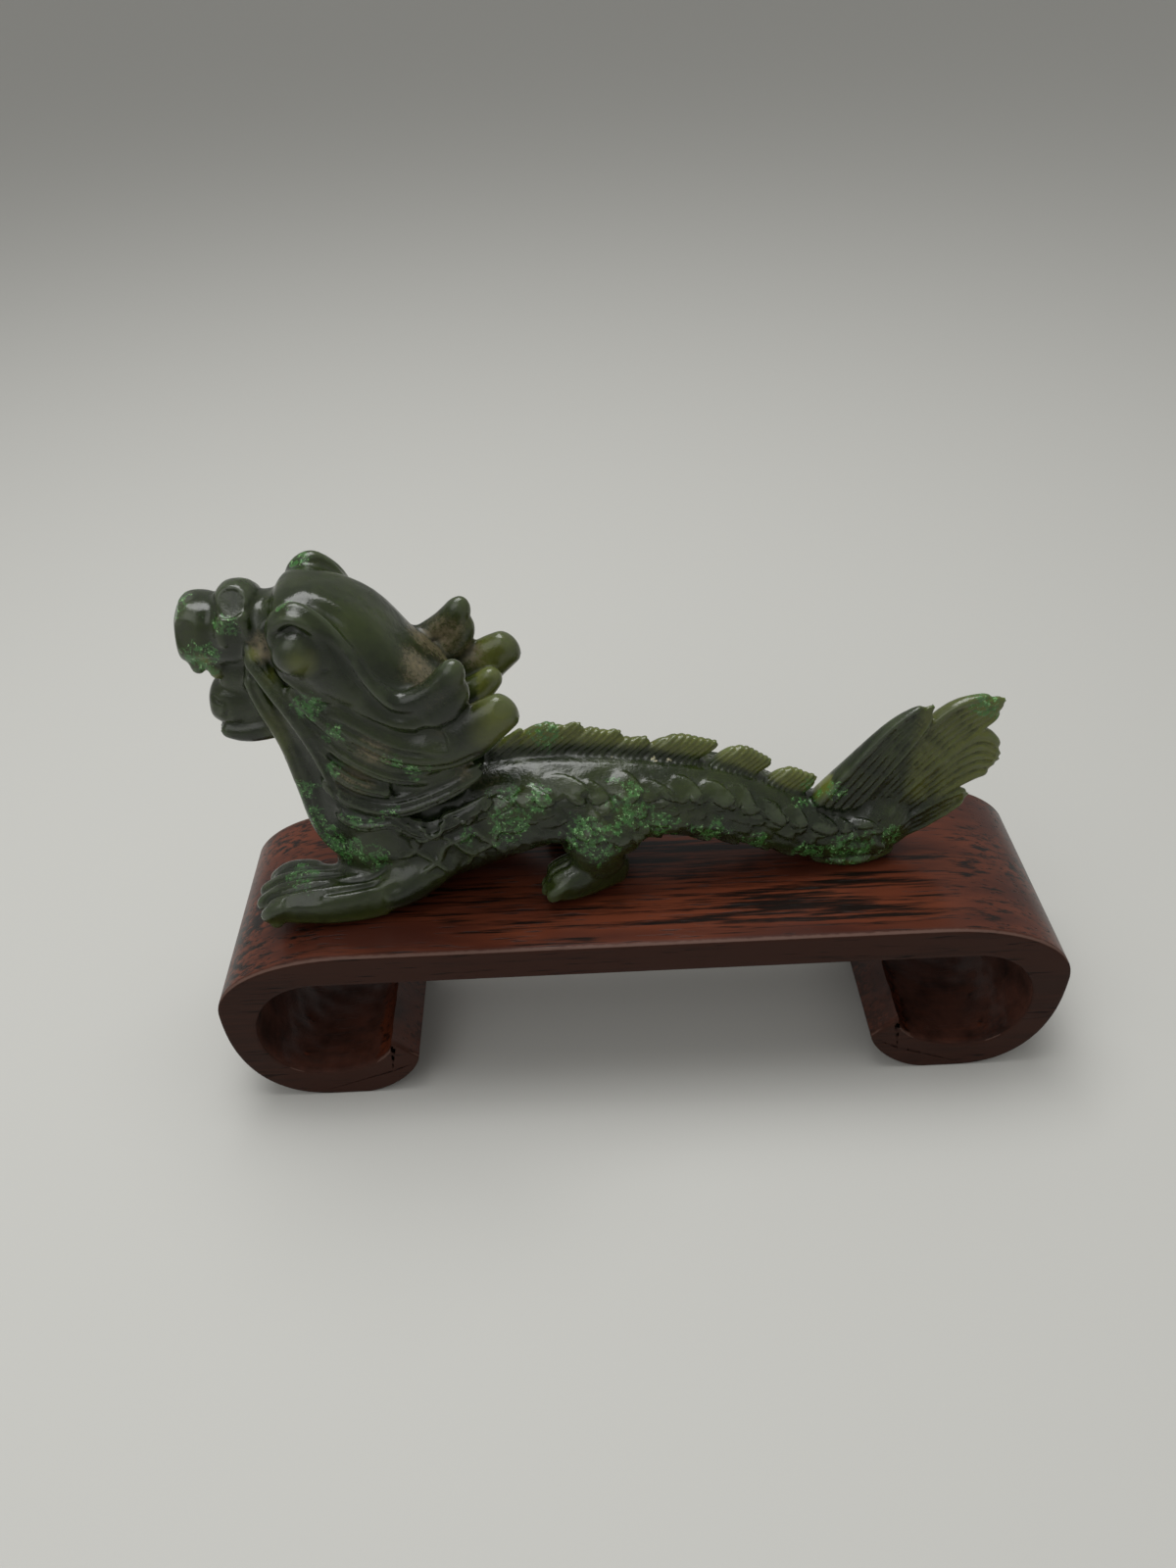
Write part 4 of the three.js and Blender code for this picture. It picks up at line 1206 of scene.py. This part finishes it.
@dataclass(frozen=True)
class BackFin:
    """One fin on the ridge of the back, swept up and back to its tip."""

    shares: ClassVar[Place] = (0.2, 0.55, 0.9)
    widths: ClassVar[Station] = (0.9, 1.3, 1.3, 1.0, 0.5)
    sunk: ClassVar[float] = 1.6
    front: float
    rear: float
    root: float
    crest: float
    tip: Range

    def spine(self) -> Spine:
        """The fin's run, from its front edge over the crest to the tip."""
        root, crest, (tip_x, tip_z) = self.root, self.crest, self.tip
        low = root - self.sunk
        tops = (root + 0.2, mix(root, crest, 0.72), crest, mix(crest, tip_z, 0.5), tip_z + 0.2)
        lows = (low, low, low, mix(root, tip_z, 0.1), tip_z - 0.9)
        places = (self.front, *(mix(self.front, self.rear, share) for share in self.shares), tip_x)
        return Spine(
            [
                (x, 0, (top + bottom) / 2, width, (top - bottom) / 2)
                for x, top, bottom, width in zip(places, tops, lows, self.widths)
            ]
        )


@dataclass
class Fins:
    """The row of fins along the back, and the four fluted lobes of the tail."""

    back: Sequence[BackFin] = (
        BackFin(-25.5, -20.0, 23.0, 29.2, (-19.2, 31.0)),
        BackFin(-19.8, -10.6, 24.6, 31.6, (-9.2, 31.6)),
        BackFin(-10.8, -3.9, 24.4, 30.2, (-2.5, 29.6)),
        BackFin(-4.0, 1.0, 23.6, 28.0, (2.0, 28.0)),
        BackFin(1.4, 12.4, 22.6, 27.9, (14.2, 26.0)),
        BackFin(13.0, 22.2, 18.6, 24.9, (23.6, 21.4)),
        BackFin(22.8, 30.4, 14.0, 19.8, (31.6, 17.8)),
    )
    back_end: float = 32
    fluting: float = 0.95
    flute_slant: Range = (0.62, 0.78)
    flute_depth: float = 0.3
    flute_rise: Range = (0.6, 1.8)
    flute_half: Range = (2.0, 0.4)
    tail_edge: Spine = run((31, -2.8, 1.6, 1.6, 1.2), (39, -3.6, 1.2, 1.7, 1.2), (46.6, -1.2, 1.4, 1.4, 1.2))
    tail: Sequence[Fin] = (
        Fin(
            [(30, 12), (35.6, 19.5), (42.4, 28.2), (49.2, 33.6)],
            [(37, 9.5), (42.4, 16.5), (47.0, 24.4), (50.8, 31.6)],
            rays=5, y=-1.0,
        ),
        Fin(
            [(38, 11), (44.6, 21.0), (52.2, 30.6), (61.4, 34.0)],
            [(43, 8.5), (50.4, 17.8), (57, 24.4), (63.2, 30.2)],
            rays=6, y=0.2,
        ),
        Fin(
            [(43, 9), (50.4, 18.0), (58, 25.6), (64.2, 21.6)],
            [(45, 5.5), (51.6, 11.0), (57.8, 15.2), (62.6, 16.8)],
            rays=5, y=0.2,
        ),
        Fin(
            [(43, 5.5), (49.6, 9.6), (55, 12.6), (59.4, 13.6)],
            [(43, 3.0), (49.4, 4.9), (54.6, 8.0), (59.2, 11.6)],
            rays=4, y=-0.4,
        ),
    )

    def build(self, clay: Clay) -> None:
        """Adds all the fins."""
        clay.sweep(self.tail_edge, around=12)
        for fin in self.back:
            clay.sweep(fin.spine(), around=24, rings=40, cap=0.06, square=2.6, sides=Side.NEAR)
        for lobe in self.tail:
            lobe.build(clay)

    def carve(self, carving: Carving) -> None:
        """Cuts the slanting flutes on the back's fins and the lines of the tail."""
        x, y, z = carving.co.T
        root = np.interp(x, [fin.front for fin in self.back], [fin.root for fin in self.back])
        half, fade = self.flute_half
        on_fin = ramp(z - root, *self.flute_rise) * ramp(half - np.abs(y), 0, fade)
        on_fin = on_fin * (x > self.back[0].front) * (x < self.back_end)
        flute = np.abs(np.sin(np.pi * (x * self.flute_slant[0] - z * self.flute_slant[1]) / self.fluting))
        carving.cut(on_fin * self.flute_depth * (1 - flute))
        for lobe in self.tail:
            lobe.carve(carving)


# ---------------------------------------------------------------- the whole carving


@dataclass(frozen=True)
class Corner:
    """The skin past a place along x and past a height, each faded in between two values.

    EVERYWHERE, in place of either, leaves it out.
    """

    x: Range
    z: Range

    def share(self, co: np.ndarray) -> np.ndarray:
        """How far inside each point is, from 0 to 1."""
        return ramp(co[:, 0], *self.x) * ramp(co[:, 2], *self.z)


@dataclass(frozen=True)
class Oval:
    """The skin round a place in the side view, on both sides."""

    x: float
    z: float
    radius: float
    stretch: float = 1.0

    def share(self, co: np.ndarray) -> np.ndarray:
        """How far inside each point is, from 0 to 1."""
        away = np.hypot((co[:, 0] - self.x) / self.stretch, co[:, 2] - self.z)
        return ramp(self.radius - away, 0, 2)


@dataclass
class JadeDragon:
    """The dragon: its forms pressed into one skin, then carved and polished."""

    voxel: float = 0.34
    polish_passes: int = 3
    rounded: Sequence[tuple[int, Corner | Oval]] = (
        (4, Corner((30, 26), (24, 22))),
        (12, Corner((-32, -38), (40, 44))),
        (14, Oval(-30, 45, 5.0, 1.3)),
        (24, Oval(-50.4, 53.0, 5.4)),
        (16, Oval(-54.0, 48.7, 3.8)),
        (16, Oval(-33, 25, 5.5, 1.6)),
        (26, Corner((-30, -36), (12, 9))),
    )
    nicks: int = 130
    nick_lengths: Range = (0.4, 1.4)
    nick_widths: Range = (0.14, 0.3)
    nick_depth: float = 0.1
    most_triangles: int = 185_000
    sharpest: float = 0.17
    hollow_passes: int = 3
    dust_hollow: Range = (-0.35, 0.05)
    fin_light: tuple[float, Range, Range, Range] = (0.75, (1.04, 1.4), (40, 10), (-26, 34))
    eye_light: tuple[float, Range, float, Range] = (0.75, (-50.4, 52.2), 3.2, (8.5, 10))
    throat_light: tuple[float, float, float, Range, Range] = (0.45, -58, 3.5, (8, 14), (46, 38))
    corner_lights: Sequence[tuple[float, Corner]] = (
        (0.8, Corner((44, 62), EVERYWHERE)),
        (0.64, Corner((44, 49), (9, 14))),
        (0.62, Corner((-33, -22), (31, 38))),
        (0.4, Corner(EVERYWHERE, (5, 1))),
    )
    trunk: Trunk = field(default_factory=Trunk)
    head: Head = field(default_factory=Head)
    mane: Mane = field(default_factory=Mane)
    legs: Legs = field(default_factory=Legs)
    fins: Fins = field(default_factory=Fins)
    flecks: Sequence[Spot] = (
        (-69.8, 2, 57.2, 2.8), (-67.5, 4, 49.5, 4.0), (-62.0, 5, 55.0, 2.4), (-51.0, 9, 43.0, 3.4),
        (-48.0, 9, 39.0, 2.6), (-36.0, 11, 31.0, 2.6), (-55.0, 6, 25.0, 3.2), (-52.0, 7, 14.0, 4.5),
        (-46.0, 9, 12.0, 3.5), (-43.0, 10, 20.5, 2.2), (-22.0, 8, 18.0, 5.0), (-17.0, 8, 22.0, 3.0),
        (-15.0, 0, 29.5, 3.4), (-8.0, 9, 14.0, 5.5), (-2.0, 7, 18.0, 5.0), (3.0, 6, 15.0, 4.5),
        (12.0, 6, 12.0, 4.0), (30.0, 3, 15.5, 3.0), (34.0, 3, 16.0, 2.4), (38.0, 5, 4.0, 5.5),
        (30.0, 5, 5.0, 4.0), (45.0, 4, 6.0, 3.0), (59.0, 1, 32.0, 3.5), (-58.0, 9, 8.0, 3.5),
        (-57.0, 4, 30.0, 3.0), (-54.5, 6, 20.0, 3.5), (-50.0, 8, 13.0, 4.0), (-47.0, 9, 20.0, 2.6),
        (-49.0, 9, 31.0, 2.2), (-41.0, 10, 22.5, 2.2), (-39.0, 11, 33.0, 2.0), (-52.0, 7, 59.5, 2.2),
        (-59.0, 8, 6.0, 3.5), (-47.5, 11, 60.5, 1.6), (20.0, 6, 9.0, 3.5), (-29.0, 9, 15.0, 2.4),
    )
    dusty: Sequence[Spot] = (
        (-31.0, 6, 45.0, 6.0), (-35.0, 4, 46.0, 4.5), (-27.0, 7, 41.0, 3.5), (-31.0, 9, 38.0, 2.4),
        (-46.0, 10, 29.0, 4.0), (-42.0, 10, 35.0, 4.0), (-26.0, 7, 27.0, 5.0), (-57.0, 6, 52.0, 3.0),
    )
    pale: Sequence[Spot] = (
        (-66.2, 4, 46.2, 1.5), (-58.4, 6, 51.0, 1.5), (-67.0, 5, 49.0, 1.6), (-56.8, 6, 47.0, 2.0),
    )
    chips: Sequence[Spot] = (
        (-6.0, 1, 24.5, 1.0), (-4.0, 1, 24.2, 0.9), (3.0, 1, 23.2, 1.2), (5.5, 1, 23.0, 1.0),
        (49.8, 1, 33.2, 1.4),
    )

    def build(self) -> bpy.types.Object:
        """Makes the carving.

        Returns:
            The finished piece, in place on the stand.
        """
        forms = (self.trunk, self.head, self.mane, self.legs, self.fins)
        clay = Clay()
        for form in forms:
            form.build(clay)
        carving = Carving(clay.pressed(self.voxel))
        carving.polish(self.polish_passes)
        for passes, region in self.rounded:
            carving.fill(passes, region.share(carving.co))
        for form in forms:
            form.carve(carving)
        self._nick(carving)
        carving.co[:, 2] = np.maximum(carving.co[:, 2], 0.0)
        carving.write()
        carving = Carving(thinned(carving.mesh, self.most_triangles))
        self._mark(carving)
        carving.co[:, 1] += DRAGON_Y
        carving.co[:, 2] += TOP_Z
        carving.co *= MM
        carving.write()
        piece = bpy.data.objects.new("jade_carving", carving.mesh)
        bpy.context.scene.collection.objects.link(piece)
        carving.mesh.polygons.foreach_set("use_smooth", np.ones(len(carving.mesh.polygons), bool))
        log.info("jade_carving: %d points, %d faces", len(carving.co), len(carving.mesh.polygons))
        return piece

    def _nick(self, carving: Carving) -> None:
        """Leaves the cutting wheel's small nicks."""
        rng = np.random.default_rng(NICK_SEED)
        depth = np.zeros(len(carving.co))
        for spot in rng.choice(len(carving.co), self.nicks, replace=False):
            away = carving.co - carving.co[spot]
            length, width = rng.uniform(*self.nick_lengths), rng.uniform(*self.nick_widths)
            way = unit(rng.normal(size=3))
            along = away @ way
            across = np.linalg.norm(away - along[:, None] * way, axis=1)
            nick = self.nick_depth * np.exp(-((along / length) ** 2) - (across / width) ** 2)
            depth = np.maximum(depth, nick)
        carving.cut(depth)

    def _mark(self, carving: Carving) -> None:
        """Stores where the stone is hollow, where its painted olive glow goes, and where it is flecked."""
        hollow = carving.hollow()
        for _ in range(self.hollow_passes):
            hollow = carving.spread(hollow)
        store(carving.mesh, "hollow", np.clip(hollow / self.sharpest, -1, 1))
        store(carving.mesh, "painted_glow", np.clip(self._painted_glow(carving.co), 0, 1))
        store(carving.mesh, "fleck", self._spots(carving.co, self.flecks))
        store(carving.mesh, "dust", self._spots(carving.co, self.dusty) * ramp(hollow, *self.dust_hollow))
        store(carving.mesh, "chip", self._spots(carving.co, self.chips))

    def _painted_glow(self, co: np.ndarray) -> np.ndarray:
        """How much light the stone lets through at each point."""
        # painted glow: this mask paints olive light coming through the stone, not a colour of the stone
        # itself
        x, angle, share = self.trunk.wrap(co)
        y, z = np.abs(co[:, 1]), co[:, 2]
        glow, height, turn, (first, last) = self.fin_light
        fins = glow * ramp(share, *height) * ramp(angle, *turn) * (x > first) * (x < last)
        glow, (eye_x, eye_z), radius, side = self.eye_light
        away = ((x - eye_x) / radius) ** 2 + ((z - eye_z) / radius) ** 2
        eye = glow * np.exp(-away) * ramp(y, *side)
        glow, throat_x, radius, bottom, top = self.throat_light
        throat = glow * np.exp(-(((x - throat_x) / radius) ** 2)) * ramp(z, *bottom) * ramp(z, *top)
        corners = [glow * corner.share(co) for glow, corner in self.corner_lights]
        return np.maximum.reduce([fins, eye, throat, *corners, self._spots(co, self.pale)])

    @staticmethod
    def _spots(co: np.ndarray, spots: Sequence[Spot]) -> np.ndarray:
        """Soft round patches mirrored to both sides.

        Args:
            co: The points, in millimetres.
            spots: Each patch's x, y from the middle plane, z and radius.

        Returns:
            The strongest patch at each point, from 0 to 1.
        """
        folded = co.copy()
        folded[:, 1] = np.abs(folded[:, 1])
        strongest = np.zeros(len(co))
        for x, y, z, radius in spots:
            away = np.linalg.norm(folded - (x, y, z), axis=1) / radius
            strongest = np.maximum(strongest, np.exp(-(away**2)))
        return strongest


def store(mesh: bpy.types.Mesh, name: str, values: np.ndarray) -> None:
    """Keeps one number for each point under a name that the materials read."""
    layer = mesh.attributes.new(name, "FLOAT", "POINT")
    layer.data.foreach_set("value", values.astype(np.float32))


# ---------------------------------------------------------------- the stand


@dataclass(frozen=True)
class Arc:
    """A quarter of a superellipse in the stand's side view."""

    centre: Range
    reach: Range
    power: float
    turn: Range
    steps: int

    def points(self) -> list[Range]:
        """Its points as x and z between the two angles, which are in degrees."""
        found = []
        for step in range(self.steps + 1):
            angle = math.radians(mix(*self.turn, step / self.steps))
            push = [math.copysign(abs(f(angle)) ** (2 / self.power), f(angle)) for f in (math.cos, math.sin)]
            found.append((self.centre[0] + self.reach[0] * push[0], self.centre[1] + self.reach[1] * push[1]))
        return found


@dataclass
class ScrollStand:
    """One board rolled under into an open scroll at each end."""

    board: float = 6.5
    shoulder: float = 50.5
    waist: float = 22.5
    foot_inner: float = 52.0
    foot_outer: float = 57.5
    lip: Range = (41.5, 9.2)
    lip_inside: Arc = Arc((59.2, 13.5), (13.2, 7.5), 2.0, (180, 270), 20)
    hollow_floor: Arc = Arc((59.2, 17), (10, 11), 2.0, (-90, 0), 20)
    roof: Range = (57, 17)
    roof_reach: float = 12.2
    hollow_middle: Range = (57.5, 18)
    hollow_radius: float = 13.5
    hollow_start: float = 45.5
    hollow_share: float = 0.93
    chamfer: float = 0.35
    rim: float = 0.5
    lengths_along: int = 40
    gouge: float = 0.05
    sharp_angle: float = 35
    low: Vector = field(default_factory=lambda: STAND_LOW / MM)
    high: Vector = field(default_factory=lambda: STAND_HIGH / MM)

    def outline(self) -> list[Range]:
        """The side outline's points as x and z, in millimetres, starting under the top board."""
        tip, height = self.high.x, self.high.z
        (lip_x, lip_z), (roof_x, roof_z) = self.lip, self.roof
        arcs = (
            Arc((self.foot_outer, self.waist), (tip - self.foot_outer, self.waist), 2.4, (0, -90), 30),
            Arc((self.foot_inner, lip_z), (self.foot_inner - lip_x, lip_z), 1.6, (-90, -180), 16),
            self.lip_inside,
            self.hollow_floor,
            Arc((roof_x, roof_z), (self.roof_reach, height - self.board - roof_z), 2.1, (0, 90), 24),
        )
        reach = (tip - self.shoulder, height - self.waist)
        right = Arc((self.shoulder, self.waist), reach, 2.1, (90, 0), 30).points()
        for arc in arcs:
            points = arc.points()
            right += points[1:] if math.dist(points[0], right[-1]) < self.chamfer else points
        return right + [(-x, z) for x, z in reversed(right)]

    def build(self) -> bpy.types.Object:
        """Makes the stand.

        Returns:
            The finished piece.
        """
        board = bmesh.new()
        verts = [board.verts.new((x, self.low.y, z)) for x, z in self.outline()]
        face = board.faces.new(verts)
        pushed = bmesh.ops.extrude_face_region(board, geom=[face])
        moved = [item for item in pushed["geom"] if isinstance(item, bmesh.types.BMVert)]
        bmesh.ops.translate(board, vec=(0, self.high.y - self.low.y, 0), verts=moved)
        bmesh.ops.recalc_face_normals(board, faces=board.faces)
        sides = [f for f in board.faces if len(f.verts) > 4]
        rims = list({edge for side in sides for edge in side.edges})
        bmesh.ops.bevel(
            board, geom=rims, offset=self.chamfer, segments=2, profile=0.5, affect="EDGES", material=-1
        )
        sides = [f for f in board.faces if len(f.verts) > 4]
        bmesh.ops.inset_region(board, faces=sides, thickness=self.rim, use_even_offset=True)
        runs = [e for e in board.edges if abs(e.verts[0].co.y - e.verts[1].co.y) > 1]
        bmesh.ops.subdivide_edges(board, edges=runs, cuts=self.lengths_along, use_grid_fill=True)
        self._rough(board)
        self._ordered(board)
        mesh = bpy.data.meshes.new("rosewood_stand")
        self._mark(board, mesh)
        piece = bpy.data.objects.new("rosewood_stand", mesh)
        bpy.context.scene.collection.objects.link(piece)
        log.info("rosewood_stand: %d points, %d faces", len(mesh.vertices), len(mesh.polygons))
        return piece

    def _inside(self, co: Vector) -> float:
        """How far a point lies inside a scroll's hollow wall: 1 on the wall, 0 outside."""
        x, z = abs(co.x), co.z
        if x < self.hollow_start or z > self.high.z - self.board + 0.1:
            return 0.0
        middle_x, middle_z = self.hollow_middle
        out = math.hypot((x - middle_x) / self.hollow_radius, (z - middle_z) / self.hollow_radius)
        return 1.0 if out < self.hollow_share else 0.0

    def _rough(self, board: bmesh.types.BMesh) -> None:
        """Leaves shallow gouge marks inside the scrolls."""
        for vert in board.verts:
            if self._inside(vert.co) and abs(vert.co.y) < self.high.y - 1:
                x, y, z = vert.co
                wave = math.sin(y * 1.7 + x * 0.9) + math.sin(y * 0.8 - z * 1.9)
                wave += math.sin(x * 2.3 + z * 1.1 + y)
                vert.co += vert.normal * (self.gouge * wave)

    @staticmethod
    def _ordered(board: bmesh.types.BMesh) -> None:
        """Puts the faces in their points' order, because the bevel's own order changes with each run."""
        board.verts.index_update()
        count = len(board.verts)

        def rank(face: bmesh.types.BMFace) -> int:
            """A number from the face's three lowest points, which no other face shares."""
            low, middle, high = sorted(vert.index for vert in face.verts)[:3]
            return (low * count + middle) * count + high

        board.faces.sort(key=rank)

    def _mark(self, board: bmesh.types.BMesh, mesh: bpy.types.Mesh) -> None:
        """Writes the mesh in metres, with where it faces up, lies inside a scroll or has its worn top rim,
        which also carries a painted highlight.
        """
        board.normal_update()
        top, inner, edge = [], [], []
        for vert in board.verts:
            inset = abs(abs(vert.co.y) - self.high.y)
            rim = min(inset, abs(abs(vert.co.y) - self.high.y + self.chamfer)) < self.chamfer * 0.9
            side_on = all(abs(f.normal.y) > 0.95 for f in vert.link_faces)
            worn_highlight = rim and not side_on and vert.normal.z > 0.3 and not self._inside(vert.co)
            top.append(0.0 if side_on or rim else ramp(np.array(vert.normal.z), -0.2, 0.75).item())
            inner.append(0.0 if inset < 0.2 else self._inside(vert.co))
            edge.append(float(worn_highlight))
        bmesh.ops.scale(board, vec=(MM, MM, MM), verts=board.verts)
        board.to_mesh(mesh)
        board.free()
        for name, values in (("top", top), ("inner", inner), ("edge", edge)):
            store(mesh, name, np.array(values))
        mesh.polygons.foreach_set("use_smooth", np.ones(len(mesh.polygons), bool))
        mesh.set_sharp_from_angle(angle=math.radians(self.sharp_angle))


# ---------------------------------------------------------------- studio


@dataclass(frozen=True)
class Studio:
    """The floor, lights and camera."""

    camera_place: Place = (-9.45, -158.63, 181.94)
    camera_turn: Place = (51.44, -2.34, -0.38)
    lens: float = 27.11
    sensor: float = 36.0
    nearest: float = 0.01
    floor_half: float = 3.0
    floor_colour: tuple = rgb(0.50, 0.50, 0.475)
    floor_rough: float = 0.7
    air_colour: tuple = rgb(1.0, 0.99, 0.96)
    air_strength: float = 0.38
    soft_boxes: Sequence[tuple[str, Place, float, float]] = (
        ("overhead", (-0.08, 0.08, 0.62), 0.40, 2.9),
        ("front", (-0.4, -0.5, 0.6), 0.6, 1.3),
    )
    aim: Place = (0, 0, 0.05)

    def build(self) -> None:
        """Makes the studio."""
        self._floor()
        self._lights()
        self._camera()

    def _floor(self) -> None:
        """Makes the pale floor."""
        mesh = bpy.data.meshes.new("floor")
        sheet = bmesh.new()
        bmesh.ops.create_grid(sheet, x_segments=1, y_segments=1, size=self.floor_half)
        sheet.to_mesh(mesh)
        sheet.free()
        floor = bpy.data.objects.new("floor", mesh)
        bpy.context.scene.collection.objects.link(floor)
        finish = {"Base Color": self.floor_colour, "Roughness": self.floor_rough}
        mesh.materials.append(Paint("pale floor").finish(finish))

    def _lights(self) -> None:
        """Makes the soft boxes and the even light all round."""
        world = bpy.data.worlds.new("studio")
        bpy.context.scene.world = world
        world.use_nodes = True
        background = world.node_tree.nodes["Background"]
        background.inputs["Color"].default_value = self.air_colour
        background.inputs["Strength"].default_value = self.air_strength
        for soft_box in self.soft_boxes:
            self._soft_box(*soft_box)

    def _soft_box(self, name: str, place: Place, size: float, watts: float) -> None:
        """Adds a square light that faces the dragon."""
        lamp = bpy.data.lights.new(name, "AREA")
        lamp.size = size
        lamp.energy = watts
        holder = bpy.data.objects.new(name, lamp)
        holder.location = place
        way = Vector(self.aim) - Vector(place)
        holder.rotation_euler = way.to_track_quat("-Z", "Y").to_euler()
        bpy.context.scene.collection.objects.link(holder)

    def _camera(self) -> None:
        """Makes the camera."""
        data = bpy.data.cameras.new("camera")
        data.sensor_width = self.sensor
        data.lens = self.lens
        data.clip_start = self.nearest
        camera = bpy.data.objects.new("camera", data)
        camera.location = Vector(self.camera_place) * MM
        pitch, roll, yaw = (math.radians(turn) for turn in self.camera_turn)
        turned = Matrix.Rotation(yaw, 3, "Z") @ Matrix.Rotation(pitch, 3, "X") @ Matrix.Rotation(roll, 3, "Z")
        camera.rotation_euler = turned.to_euler()
        bpy.context.scene.collection.objects.link(camera)
        bpy.context.scene.camera = camera
        bpy.context.scene.view_settings.view_transform = "Standard"


def dress(piece: bpy.types.Object, material: bpy.types.Material, node: str) -> None:
    """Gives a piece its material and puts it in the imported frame.

    Args:
        piece: The finished object.
        material: What it is made of.
        node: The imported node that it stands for.
    """
    piece.data.materials.append(material)
    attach(piece, BODY)
    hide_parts(node)


def main() -> None:
    """Builds the dragon, its stand and the studio."""
    logging.basicConfig(level=logging.INFO, format="%(name)s: %(message)s")
    Studio().build()
    carving = JadeDragon().build()
    dress(carving, JadeFinish().material(), "jade_dragon")
    stand = ScrollStand().build()
    dress(stand, RosewoodFinish().material(), "scroll_stand")


if __name__ == "__main__":
    main()
